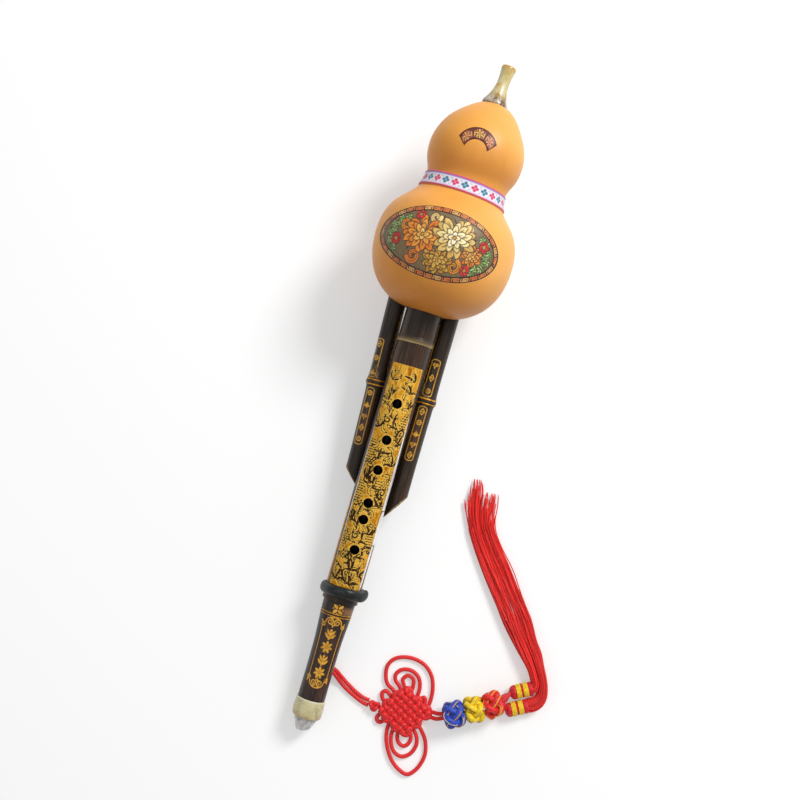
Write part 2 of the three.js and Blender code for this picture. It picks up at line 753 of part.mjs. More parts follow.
function makeMouthpiece() {
  const foot = seatGap;
  const outer = smooth([
    [mouthpieceFootRadius - mouthpieceRounding / 2, foot],
    [mouthpieceFootRadius, foot + 2 * mouthpieceRounding],
    [mouthpieceFlareRadius, foot + mouthpieceLength * mouthpieceShares.flare],
    [mouthpieceThroatRadius, foot + mouthpieceLength * mouthpieceShares.throat],
    [mouthpieceWaistRadius, foot + mouthpieceLength * mouthpieceShares.waist],
    [mouthpieceLipRadius, foot + mouthpieceLength * mouthpieceShares.lip],
    [mouthpieceLipRadius, mouthpieceLength - mouthpieceRounding],
    [mouthpieceLipRadius - mouthpieceRounding, mouthpieceLength],
  ], mouthpieceSteps);
  return turnedSolid(tubeOutline([
    [mouthpieceTenonRadius, -mouthpieceTenonLength],
    [mouthpieceTenonRadius, foot],
    ...outer,
  ], mouthpieceBoreRadius), droneSides);
}

function makeMouthpieceCork() {
  const inner = mouthpieceTenonRadius + seatGap;
  const outer = inner + corkThickness;
  const low = corkInset - mouthpieceTenonLength;
  return sleeve(inner, outer, low, -seatGap, droneSides);
}

// Cord, knot and tassels, on the floor

function padSolid(grow) {
  const long = padHalfLength - padRounding + grow;
  const wide = padHalfWidth - padRounding + grow;
  const shape = new THREE.Shape();
  shape.moveTo(long, 0);
  const corners = [[long, 0], [0, wide], [-long, 0], [0, -wide]];
  corners.forEach(([x, y], i) => {
    const [nextX, nextY] = corners[(i + 1) % corners.length];
    shape.quadraticCurveTo((x + nextX) * padFullness, (y + nextY) * padFullness, nextX, nextY);
  });
  const geometry = new THREE.ExtrudeGeometry(shape, {
    depth: padThickness - 2 * padRounding, bevelThickness: padRounding + grow, bevelSize: padRounding,
    bevelSegments: padRoundingSteps, curveSegments: padSideSteps,
  });
  geometry.translate(0, 0, padRounding + floorGap);
  geometry.rotateZ(padTurn);
  geometry.translate(...padCentre, 0);
  return toSolid(geometry);
}

function entryKnotSolid(grow) {
  const geometry = new THREE.SphereGeometry(1, knotSides, knotRings);
  const [a, b, c] = entryKnot.radii;
  geometry.scale(a + grow, b + grow, c + grow);
  geometry.translate(...entryKnot.at, c + floorGap);
  return toSolid(geometry);
}

function floorLoop(points) {
  return points.map(([x, y]) => [x, y, cordRadius + floorGap]);
}

function buttonSolid(button, grow) {
  const half = button.length / 2 + grow;
  const radius = buttonRadius + grow;
  const inset = radius - buttonRounding;
  const side = arc(inset, half - buttonRounding, buttonRounding, 0, Math.PI / 2, roundingSteps);
  const outline = [[0, -half], ...side.map(([r, y]) => [r, -y]).reverse(), ...side, [0, half]];
  const geometry = turned(outline, smallSides);
  geometry.rotateZ(buttonTurn - Math.PI / 2);
  geometry.translate(...button.at, buttonRadius + floorGap);
  return toSolid(geometry);
}

function placeOnHead(geometry, tassel) {
  geometry.rotateZ(headTurn - Math.PI / 2);
  geometry.translate(...tassel.at, headRadius + bandThickness + floorGap);
  return toSolid(geometry);
}

function headSolid(tassel, grow) {
  const groove = headRadius - bandGroove;
  const outline = [[0, -grow], [headTopRadius + grow, -grow], [headRadius + grow, headShoulder]];
  for (const place of bandPlaces) {
    outline.push([headRadius + grow, place], [groove + grow, place]);
    outline.push([groove + grow, place + bandLength], [headRadius + grow, place + bandLength]);
  }
  const end = headLength + grow;
  outline.push([headRadius + grow, end - headHem], [headRadius - headHem + grow, end], [0, end]);
  return placeOnHead(turned(outline, headSides), tassel);
}

function bandSolid(tassel, place) {
  const inner = headRadius - bandGroove + seatGap;
  const outer = headRadius + bandThickness;
  const low = place + seatGap / 2;
  const high = place + bandLength - seatGap / 2;
  return placeOnHead(turned([[inner, low], [outer, low], [outer, high], [inner, high]], headSides), tassel);
}

// A flattened bundle of threads through points of [x, y, half width, half height].
function skirtSolid(points) {
  const middle = points.map(([x, y]) => new THREE.Vector3(x, y, 0));
  const along = new THREE.CatmullRomCurve3(middle, false, 'centripetal');
  const sizes = new THREE.CatmullRomCurve3(points.map(([, , w, h]) => new THREE.Vector3(w, h, 0)));
  const rings = skirtRings * (points.length - 1);
  const position = [];
  for (let i = 0; i <= rings; i += 1) {
    const at = along.getPoint(i / rings);
    const heading = along.getTangent(i / rings);
    const { x: halfWidth, y: halfHeight } = sizes.getPoint(i / rings);
    for (let j = 0; j < skirtSides; j += 1) {
      const angle = 2 * Math.PI * j / skirtSides;
      const out = halfWidth * Math.cos(angle);
      const height = floorGap + halfHeight * (1 + Math.sin(angle));
      position.push(at.x + heading.y * out, at.y - heading.x * out, height);
    }
  }
  const index = [];
  for (let i = 0; i < rings; i += 1) {
    for (let j = 0; j < skirtSides; j += 1) {
      const a = i * skirtSides + j;
      const b = i * skirtSides + (j + 1) % skirtSides;
      index.push(a, b + skirtSides, b, a, a + skirtSides, b + skirtSides);
    }
  }
  const last = rings * skirtSides;
  for (let j = 1; j < skirtSides - 1; j += 1) {
    index.push(0, j, j + 1, last, last + j + 1, last + j);
  }
  const geometry = new THREE.BufferGeometry();
  geometry.setAttribute('position', new THREE.Float32BufferAttribute(position, 3));
  geometry.setIndex(index);
  return toSolid(geometry);
}

// Assembly

const hulusi = new THREE.Group();
const lying = new THREE.Group();
const instrument = new THREE.Group();
const cordWork = new THREE.Group();
hulusi.add(lying);
lying.add(instrument, cordWork);

function addPart(parent, name, solid, finish) {
  const mesh = new THREE.Mesh(toGeometry(solid), new THREE.MeshStandardMaterial(finish));
  mesh.name = name;
  parent.add(mesh);
}

addPart(instrument, 'tail_nozzle', makeNozzle(), finishes.greyHorn);
addPart(instrument, 'tail_ferrule', makeFerrule(), finishes.horn);
addPart(instrument, 'tail_joint', makeTailJoint(), finishes.bamboo);
addPart(instrument, 'tail_tenon_wrap', makeTenonWrap(), finishes.cork);
addPart(instrument, 'main_pipe', makeMainPipe(), finishes.bamboo);
addPart(instrument, 'main_reed', makeReed(mainReed, pipeRadius, pipeTop), finishes.brass);
addPart(instrument, 'main_pipe_stopper', makeStopper(pipeRadius, pipeBoreRadius, pipeTop), finishes.cork);
addPart(instrument, 'collar_ring', makeCollar(), finishes.rubber);
addPart(instrument, 'gourd', makeGourd(), finishes.gourd);
addPart(instrument, 'pipe_block', makePipeBlock(), finishes.wood);
addPart(instrument, 'neck_ribbon', makeRibbon(), finishes.ribbon);

for (const drone of [leftDrone, rightDrone]) {
  const frame = droneFrame(drone);
  instrument.add(frame);
  addPart(frame, drone.name, makeDrone(drone), finishes.bamboo);
  addPart(frame, `${drone.name}_reed`, makeReed(droneReed, droneRadius, droneInnerLength), finishes.brass);
  const stopper = makeStopper(droneRadius, droneBoreRadius, droneInnerLength);
  addPart(frame, `${drone.name}_stopper`, stopper, finishes.cork);
  addPart(frame, `${drone.name}_seal`, makeDroneSeal(), finishes.rubber);
}

const stem = stemFrame();
instrument.add(stem);
addPart(stem, 'stem_bush', makeStemBush(), finishes.wood);
addPart(stem, 'mouthpiece', makeMouthpiece(), finishes.horn);
addPart(stem, 'mouthpiece_cork', makeMouthpieceCork(), finishes.cork);

const padWithGap = padSolid(seatGap);
const entryWithGap = entryKnotSolid(seatGap);
addPart(cordWork, 'knot_body', padSolid(0), finishes.redCord);
addPart(cordWork, 'entry_knot', entryKnotSolid(0).subtract(padWithGap), finishes.redCord);
strandRoutes.forEach((route, i) => {
  const strand = cordTube(route, cordRadius, strandStep).subtract(entryWithGap);
  addPart(cordWork, `cord_strand_${i + 1}`, strand, finishes.redCord);
});
const knotLoops = { upper_ear: upperEarLoops, lower_ear: lowerEarLoops, side_loop: sideLoops };
for (const [name, loops] of Object.entries(knotLoops)) {
  loops.forEach((points, i) => {
    const loop = cordTube(floorLoop(points), cordRadius, cordStep).subtract(padWithGap);
    addPart(cordWork, `${name}_${i + 1}`, loop, finishes.redCord);
  });
}
const grownButtons = buttons.map((button) => buttonSolid(button, seatGap));
const padLink = cordTube(padLinkRoute, linkRadius, linkRadius).subtract(padWithGap.add(grownButtons[0]));
addPart(cordWork, 'knot_link', padLink, finishes.redCord);
buttons.forEach((button, i) => {
  const solid = i === 0 ? buttonSolid(button, 0) : buttonSolid(button, 0).subtract(grownButtons[i - 1]);
  addPart(cordWork, button.name, solid, { color: button.colour, roughness: 0.7, metalness: 0 });
});
const tassels = [upperTassel, lowerTassel];
let tasselLink = cordTube(tasselLinkRoute, tasselLinkRadius, tasselLinkRadius).subtract(grownButtons[2]);
for (const tassel of tassels) {
  tasselLink = tasselLink.subtract(headSolid(tassel, bandThickness + seatGap));
}
addPart(cordWork, 'tassel_link', tasselLink, finishes.redCord);
for (const tassel of tassels) {
  addPart(cordWork, `${tassel.name}_head`, headSolid(tassel, 0), finishes.redCord);
  bandPlaces.forEach((place, i) => {
    addPart(cordWork, `${tassel.name}_band_${i + 1}`, bandSolid(tassel, place), finishes.yellowThread);
  });
  const skirt = skirtSolid(tassel.skirt).subtract(headSolid(tassel, seatGap));
  addPart(cordWork, `${tassel.name}_skirt`, skirt, finishes.redCord);
}

// Laying it down: the line under the ferrule and the belly becomes the floor.

function underside(points, sides) {
  return points.map(([r, s]) => [r * Math.cos(Math.PI / sides), s]);
}

const feet = underside(ferruleOuterOutline(), pipeSides);
const bellies = underside(gourdOutline().map((p) => [p.x, p.y]), gourdSides);
const slopes = bellies.map(([r, s]) => Math.min(...feet.map(([footR, footS]) => (r - footR) / (s - footS))));
const tilt = Math.atan(Math.max(...slopes));
const lift = Math.max(...feet.map(([r, s]) => r * Math.cos(tilt) - s * Math.sin(tilt)));
instrument.rotation.x = tilt;
instrument.position.z = lift;

instrument.updateMatrixWorld(true);
const extent = new THREE.Box3().setFromObject(instrument, true);
const centre = extent.getCenter(new THREE.Vector3());
lying.position.set(-centre.x, -centre.y, 0);

export default hulusi;
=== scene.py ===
# A hulusi: a gourd wind chest on a melody pipe with an engraved gold panel and two drone pipes,
# a turned horn mouthpiece, a tail joint that pulls out, and a red knotted cord with two tassels.
# Shapes are worked out in millimetres in the frame of the piece that carries them, then carried
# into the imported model's metres. Stations (s) are distances along the melody pipe from its tail.

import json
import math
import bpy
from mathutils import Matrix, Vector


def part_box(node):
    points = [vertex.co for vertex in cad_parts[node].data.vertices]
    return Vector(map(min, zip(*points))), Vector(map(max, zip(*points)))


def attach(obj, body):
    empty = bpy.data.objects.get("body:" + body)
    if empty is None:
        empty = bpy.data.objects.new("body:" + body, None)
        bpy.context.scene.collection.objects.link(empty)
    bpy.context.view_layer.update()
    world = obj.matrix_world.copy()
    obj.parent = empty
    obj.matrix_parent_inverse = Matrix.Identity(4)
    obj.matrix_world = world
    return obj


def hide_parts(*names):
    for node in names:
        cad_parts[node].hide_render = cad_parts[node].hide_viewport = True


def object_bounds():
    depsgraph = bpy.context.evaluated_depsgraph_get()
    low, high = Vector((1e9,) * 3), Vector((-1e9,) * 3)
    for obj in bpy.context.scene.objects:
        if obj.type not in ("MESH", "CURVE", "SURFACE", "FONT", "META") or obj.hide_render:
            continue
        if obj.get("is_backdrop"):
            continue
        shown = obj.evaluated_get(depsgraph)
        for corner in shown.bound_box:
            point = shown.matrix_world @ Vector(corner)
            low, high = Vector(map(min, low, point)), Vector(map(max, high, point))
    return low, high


bl_info = {
    "name": "Hulusi",
    "version": (1, 0, 0),
    "blender": (4, 5, 0),
    "location": "3D View > Sidebar > Hulusi",
    "description": "Dresses a packed gourd flute with its pipes, engraved gold, knotted cord and tassels",
    "category": "Add Mesh",
}

import bpy
import numpy as np
from mathutils import Matrix, Vector

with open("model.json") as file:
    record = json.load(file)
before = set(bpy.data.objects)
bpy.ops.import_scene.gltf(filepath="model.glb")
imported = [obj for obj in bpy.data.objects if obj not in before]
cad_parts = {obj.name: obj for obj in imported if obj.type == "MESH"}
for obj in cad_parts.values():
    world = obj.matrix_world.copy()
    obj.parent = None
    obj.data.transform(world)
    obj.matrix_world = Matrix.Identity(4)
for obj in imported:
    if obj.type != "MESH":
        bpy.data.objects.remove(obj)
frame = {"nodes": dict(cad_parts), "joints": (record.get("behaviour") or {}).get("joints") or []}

MM = 0.001
TAU = 2 * math.pi
DEGREE = math.pi / 180
SHARP_EDGE = 40 * DEGREE

# Stations and radii of the instrument, in millimetres
NOZZLE_TIP, NOZZLE_BORE = 4.4, 2.6
PIPE_LOW, PIPE_HIGH = 84.0, 323.0
PIPE_RADIUS, PIPE_BORE = 11.5, 7.5
PIPE_NODE = 255.6
HOLE_RADIUS = 3.05
HOLES = (118.9, 138.7, 149.5, 171.0, 190.6, 214.3)
THUMB_HOLE = 228.5
COLLAR_MIDDLE, COLLAR_LENGTH, COLLAR_RADIUS, COLLAR_OFFSET = 90.75, 6.9, 15.4, 1.2
DRONE_RADIUS, DRONE_BORE, DRONE_INNER = 6.1, 4.2, 44.0
GOURD_LOW, GOURD_HIGH = 273.0, 413.0
GOURD_WALL = 3.0
RIBBON_LOW, RIBBON_HIGH = 351.7, 361.3
DRONE_SEAL, STEM_CORK = 21.2, -6.15

# Sides of the turned shapes: the wide pipe and the tail, and the slimmer ones
WIDE_SIDES, SLIM_SIDES = 96, 72


# Frames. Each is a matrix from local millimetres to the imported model's metres.

def joint_direction(name):
    return Vector(next(j["axis"] for j in frame["joints"] if j["name"] == name)).normalized()


def middle_of(node):
    low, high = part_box(node)
    return (Vector(low) + Vector(high)) / 2


def frame_matrix(turn, origin):
    return Matrix.Translation(origin) @ turn.to_4x4() @ Matrix.Scale(MM, 4)


def instrument_turn():
    """Local Y runs up the pipe, X to the right, and Z out of the side with the finger holes."""
    up_pipe = -joint_direction("tail_slide")
    right = Vector((1, 0, 0))
    return Matrix((right, up_pipe, right.cross(up_pipe))).transposed()


def branch_turn(heading):
    """The instrument's turn, swung by the shortest way from the pipe's direction to another."""
    base = instrument_turn()
    return base.col[1].rotation_difference(heading).to_matrix() @ base


def branch_frame(heading, node, station):
    """A frame along `heading` in which the middle of `node` stands at `station`."""
    return frame_matrix(branch_turn(heading), middle_of(node) - heading * station * MM)


UP_PIPE = -joint_direction("tail_slide")
INSTRUMENT = branch_frame(UP_PIPE, "main_pipe", (PIPE_LOW + PIPE_HIGH) / 2)
LEFT_DRONE = branch_frame(-joint_direction("left_drone_slide"), "left_drone_seal", DRONE_SEAL)
RIGHT_DRONE = branch_frame(-joint_direction("right_drone_slide"), "right_drone_seal", DRONE_SEAL)
STEM = branch_frame(joint_direction("mouthpiece_pull"), "mouthpiece_cork", STEM_CORK)

# The cord's frame lies flat on the floor. The knot's middle stands at the same place in both.
PAD_MIDDLE = (59.8, 26.6)
CORD = Matrix.Translation((
    middle_of("knot_body").x - PAD_MIDDLE[0] * MM,
    middle_of("knot_body").y - PAD_MIDDLE[1] * MM,
    0,
)) @ Matrix.Scale(MM, 4)


def to_metres(points, matrix):
    """Local points, the last axis x, y and z, carried into the model's metres."""
    table = np.array(matrix)
    return np.asarray(points, float) @ table[:3, :3].T + table[:3, 3]


# Shapes

# The corners of a grid's face, as steps along its rows and columns
CORNERS = ((0, 0), (0, 1), (1, 1), (1, 0))


class Shape:
    """Surfaces gathered into one mesh: points, faces, a pair of coordinates for each corner of a
    face, and named values for each point."""

    def __init__(self, matrix):
        self.matrix = matrix
        self.points = []
        self.faces = []
        self.coords = []
        self.values = {}
        self.count = 0

    def extend(self, points, groups, values):
        """Adds points and groups of (faces, corner coordinates)."""
        for faces, coords in groups:
            self.faces.append(faces + self.count)
            self.coords.append(coords)
        self.points.append(points)
        for name, value in values.items():
            self.values.setdefault(name, []).append(value)
        self.count += len(points)

    def surface(self, points, closed=False, along=None, around=None, **values):
        """Adds a grid of points, rows by columns, whose last column joins its first. Where it is
        closed, the last row joins the first too; otherwise fans round the mean points of the first
        and last rows close it. The faces are turned outwards by the sign of the volume inside."""
        rows, columns = points.shape[:2]
        steps = rows if closed else rows - 1
        along = np.linspace(0, 1, steps + 1) if along is None else np.asarray(along, float)
        around = np.linspace(0, 1, columns + 1) if around is None else np.asarray(around, float)
        i, j = (a.ravel() for a in np.meshgrid(range(steps), range(columns), indexing="ij"))
        quads = np.stack([(i + a) % rows * columns + (j + b) % columns for a, b in CORNERS], 1)
        coords = np.stack([np.stack([around[j + b], along[i + a]], 1) for a, b in CORNERS], 1)
        flat = points.reshape(-1, 3)
        groups = [[quads, coords]]
        grown = {k: np.asarray(v, float).reshape(rows * columns, -1).squeeze() for k, v in values.items()}
        if not closed:
            flat = np.concatenate([flat, [points[0].mean(0), points[-1].mean(0)]])
            j = np.arange(columns)
            ahead, last, tip = (j + 1) % columns, (rows - 1) * columns, rows * columns
            fan = (around[j + 1], around[j], (around[j] + around[j + 1]) / 2)
            for near, far, edge in ((ahead, j, along[0]), (last + j, last + ahead, along[-1])):
                faces = np.stack([near, far, np.full_like(j, tip)], 1)
                groups.append([faces, np.stack([np.stack([u, np.full(columns, edge)], 1) for u in fan], 1)])
                tip += 1
            grown = {k: np.concatenate([v, v[:1], v[-1:]]) for k, v in grown.items()}
        if enclosed_volume(flat, [g[0] for g in groups]) < 0:
            groups = [[faces[:, ::-1], coords[:, ::-1]] for faces, coords in groups]
        self.extend(flat, groups, grown)

    def plate(self, outer, inner, keep=None, along=None, around=None, **values):
        """Adds a thin plate: a grid of outer points and a like grid of inner ones, joined by walls
        along every border of the faces that are kept."""
        rows, columns = outer.shape[:2]
        along = np.linspace(0, 1, rows) if along is None else np.asarray(along, float)
        around = np.linspace(0, 1, columns) if around is None else np.asarray(around, float)
        keep = np.ones((rows - 1, columns - 1), bool) if keep is None else keep
        i, j = np.nonzero(keep)
        quads = np.stack([(i + a) * columns + j + b for a, b in CORNERS], 1)
        grid_coords = np.stack(np.meshgrid(around, along), -1).reshape(-1, 2)
        edges = np.stack([quads, np.roll(quads, -1, 1)], -1).reshape(-1, 2)
        _, place, uses = np.unique(np.sort(edges, 1), axis=0, return_inverse=True, return_counts=True)
        border = edges[uses[place.ravel()] == 1]
        total = rows * columns
        walls = np.stack([border[:, 1], border[:, 0], border[:, 0] + total, border[:, 1] + total], 1)
        both = np.concatenate([quads, quads[:, ::-1] + total, walls])
        points = np.concatenate([outer.reshape(-1, 3), inner.reshape(-1, 3)])
        coords = np.concatenate([grid_coords, grid_coords])[both]
        if enclosed_volume(points, [both]) < 0:
            both, coords = both[:, ::-1], coords[:, ::-1]
        used, renumbered = np.unique(both, return_inverse=True)
        doubled = {k: np.concatenate([np.asarray(v, float).reshape(total, -1)] * 2).squeeze()[used]
                   for k, v in values.items()}
        self.extend(points[used], [[renumbered.reshape(both.shape), coords]], doubled)


def enclosed_volume(points, groups):
    """Six times the volume inside the faces: the sum of the triple products of their corners."""
    total = 0.0
    middle = points.mean(0)
    for faces in groups:
        corners = points[faces] - middle
        for k in range(1, faces.shape[1] - 1):
            total += np.einsum("ij,ij->", corners[:, 0], np.cross(corners[:, k], corners[:, k + 1]))
    return total


def mesh_of(name, shape):
    """A mesh of a shape's points, in metres, and faces."""
    mesh = bpy.data.meshes.new(name)
    faces = [face for group in shape.faces for face in group.tolist()]
    mesh.from_pydata(to_metres(np.concatenate(shape.points), shape.matrix).tolist(), [], faces)
    return mesh


def placed(name, data):
    """A new object of the scene."""
    thing = bpy.data.objects.new(name, data)
    bpy.context.scene.collection.objects.link(thing)
    return thing


def make_piece(name, shape, body, look, replaced=(), sharp_edge=SHARP_EDGE):
    """Turns a shape into an object at the origin that rides on a body."""
    mesh = mesh_of(name, shape)
    layer = mesh.uv_layers.new(name="UVMap")
    layer.data.foreach_set("uv", np.concatenate([c.reshape(-1, 2) for c in shape.coords]).ravel())
    for key, parts in shape.values.items():
        values = np.concatenate(parts)
        if values.ndim == 2:
            values = np.concatenate([values, np.ones((len(values), 1))], 1)
            mesh.attributes.new(key, "FLOAT_COLOR", "POINT").data.foreach_set("color", values.ravel())
        else:
            mesh.attributes.new(key, "FLOAT", "POINT").data.foreach_set("value", values)
    mesh.shade_smooth()
    mesh.set_sharp_from_angle(angle=sharp_edge)
    piece = placed(name, mesh)
    mesh.materials.append(finish(look))
    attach(piece, body)
    if replaced:
        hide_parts(*replaced)
    return piece


def rounded(outline, radius, steps=4):
    """A closed outline whose corners are rounded: each corner becomes a parabola between the points
    at the rounding's radius, or at most 45% of an edge, along its two edges."""
    outline = np.asarray(outline, float)
    radius = np.broadcast_to(np.asarray(radius, float), len(outline))
    back, ahead = np.roll(outline, 1, 0) - outline, np.roll(outline, -1, 0) - outline
    back_length = np.linalg.norm(back, axis=1)
    ahead_length = np.linalg.norm(ahead, axis=1)
    start = outline + back * np.minimum(radius / back_length, 0.45)[:, None]
    stop = outline + ahead * np.minimum(radius / ahead_length, 0.45)[:, None]
    t = np.linspace(0, 1, steps + 1)[None, :, None]
    curve = (1 - t) ** 2 * start[:, None] + 2 * t * (1 - t) * outline[:, None] + t ** 2 * stop[:, None]
    return curve.reshape(-1, 2)


def subdivided(outline, longest):
    """A closed outline with every edge cut into steps no longer than a given length."""
    outline = np.asarray(outline, float)
    pieces = []
    for start, stop in zip(outline, np.roll(outline, -1, 0)):
        count = max(1, math.ceil(np.linalg.norm(stop - start) / longest))
        pieces.append(start + (stop - start) * np.arange(count)[:, None] / count)
    return np.concatenate(pieces)


def whole_turn(sides):
    """The angles of evenly spaced sides, once round."""
    return TAU * np.arange(sides) / sides


def turned_points(outline, sides):
    """Points (radius, station) turned round the Y axis: x = r sin a, y = station, z = r cos a."""
    angle = whole_turn(sides)
    r, y = outline[:, 0][:, None], outline[:, 1][:, None]
    return np.stack([r * np.sin(angle), y + 0 * angle, r * np.cos(angle)], -1)


def turned(matrix, outline, sides, warp=None):
    """A shape turned from a closed outline of (radius, station)."""
    shape = Shape(matrix)
    points = turned_points(outline, sides)
    if warp:
        points = warp(points)
    edges = np.linalg.norm(outline - np.roll(outline, 1, 0), axis=1)
    shape.surface(points, True, along=np.append(np.cumsum(edges) - edges[0], edges.sum()))
    return shape


def spline(points, spacing):
    """A smooth curve through points, as evenly spaced points: between two points a cubic whose end
    slopes come from the neighbours, weighted by the square roots of the distances."""
    points = np.asarray(points, float)
    points = np.concatenate([2 * points[:1] - points[1:2], points, 2 * points[-1:] - points[-2:-1]])
    a, b, c, d = points[:-3], points[1:-2], points[2:-1], points[3:]
    step = [np.sqrt(np.linalg.norm(q - p, axis=1))[:, None] + 1e-9 for p, q in ((a, b), (b, c), (c, d))]
    slope_b = ((b - a) / step[0] - (c - a) / (step[0] + step[1]) + (c - b) / step[1]) * step[1]
    slope_c = ((c - b) / step[1] - (d - b) / (step[1] + step[2]) + (d - c) / step[2]) * step[1]
    t = np.linspace(0, 1, 24, endpoint=False)[None, :, None]
    b, c, slope_b, slope_c = (v[:, None] for v in (b, c, slope_b, slope_c))
    curve = (b + slope_b * t + (3 * (c - b) - 2 * slope_b - slope_c) * t ** 2
             + (2 * (b - c) + slope_b + slope_c) * t ** 3).reshape(-1, points.shape[1])
    return evenly(np.concatenate([curve, points[-2:-1]]), spacing)


def walked(path):
    """How far along a path each of its points lies."""
    return np.concatenate([[0], np.cumsum(np.linalg.norm(np.diff(path, axis=0), axis=1))])


def evenly(curve, spacing):
    """A curve's points again, at even distances along it."""
    far = walked(curve)
    places = np.linspace(0, far[-1], max(3, round(far[-1] / spacing) + 1))
    return np.stack([np.interp(places, far, axis) for axis in curve.T], 1)


def unit(vectors):
    return vectors / (np.linalg.norm(vectors, axis=-1, keepdims=True) + 1e-12)


def directions(path, up, closed=False):
    """The sideways and the upward direction at each point of a path: sideways is square to the
    path's tangent and to `up`, and upward to both."""
    if closed:
        tangent = unit(np.roll(path, -1, 0) - np.roll(path, 1, 0))
    else:
        tangent = unit(np.gradient(path, axis=0))
    side = unit(np.cross(tangent, np.broadcast_to(np.asarray(up, float), path.shape)))
    return side, np.cross(side, tangent)


def add_tube(shape, path, radius, sides, up=(0, 0, 1), closed=False, flat=1.0, **values):
    """A rope along a path: each ring is centre + radius (cos a · side + flat · sin a · upward)."""
    side, top = directions(path, up, closed)
    angle = TAU * (np.arange(sides)[:, None] + 0.5) / sides
    radius = np.broadcast_to(np.asarray(radius, float), len(path))[:, None, None]
    points = path[:, None] + radius * (np.cos(angle) * side[:, None] + flat * np.sin(angle) * top[:, None])
    far = walked(path)
    if closed:
        far = np.append(far, far[-1] + np.linalg.norm(path[-1] - path[0]))
    shape.surface(points, closed, far, **values)


def bored(piece, cutters):
    """Cuts tools' shapes out of a piece and removes the tools."""
    for cutter in cutters:
        mesh = mesh_of("cutter", cutter)
        tool = placed("cutter", mesh)
        cut = piece.modifiers.new("Cut", "BOOLEAN")
        cut.operation = "DIFFERENCE"
        cut.solver = "EXACT"
        cut.object = tool
        bpy.context.view_layer.update()
        done = bpy.data.meshes.new_from_object(piece.evaluated_get(bpy.context.evaluated_depsgraph_get()))
        piece.modifiers.remove(cut)
        old = piece.data
        done.name = old.name
        piece.data = done
        bpy.data.meshes.remove(old)
        bpy.data.objects.remove(tool)
        bpy.data.meshes.remove(mesh)
    piece.data.set_sharp_from_angle(angle=SHARP_EDGE)


def drill(matrix, radius, start, stop, sides=32):
    """A round pin from one local point to another."""
    shape = Shape(matrix)
    start, stop = np.array(start, float), np.array(stop, float)
    heading = unit(stop - start)
    up = (0, 1, 0) if abs(heading[1]) < 0.9 else (1, 0, 0)
    add_tube(shape, np.stack([start, (start + stop) / 2, stop]), radius, sides, up)
    return shape


# Drawing. Ornament is worked out on a fine grid of places on a surface, in millimetres across (u)
# and along (v), and stored on the piece's points as named values or as colours.

def compass(angle):
    """One step in the direction of an angle, or of each of several."""
    return np.stack([np.cos(angle), np.sin(angle)], -1)


def linear(red, green, blue):
    """A colour written in 0 to 255 for the screen, as the linear light that materials take."""
    parts = np.array([red, green, blue]) / 255
    return tuple(np.where(parts <= 0.04045, parts / 12.92, ((parts + 0.055) / 1.055) ** 2.4).tolist())


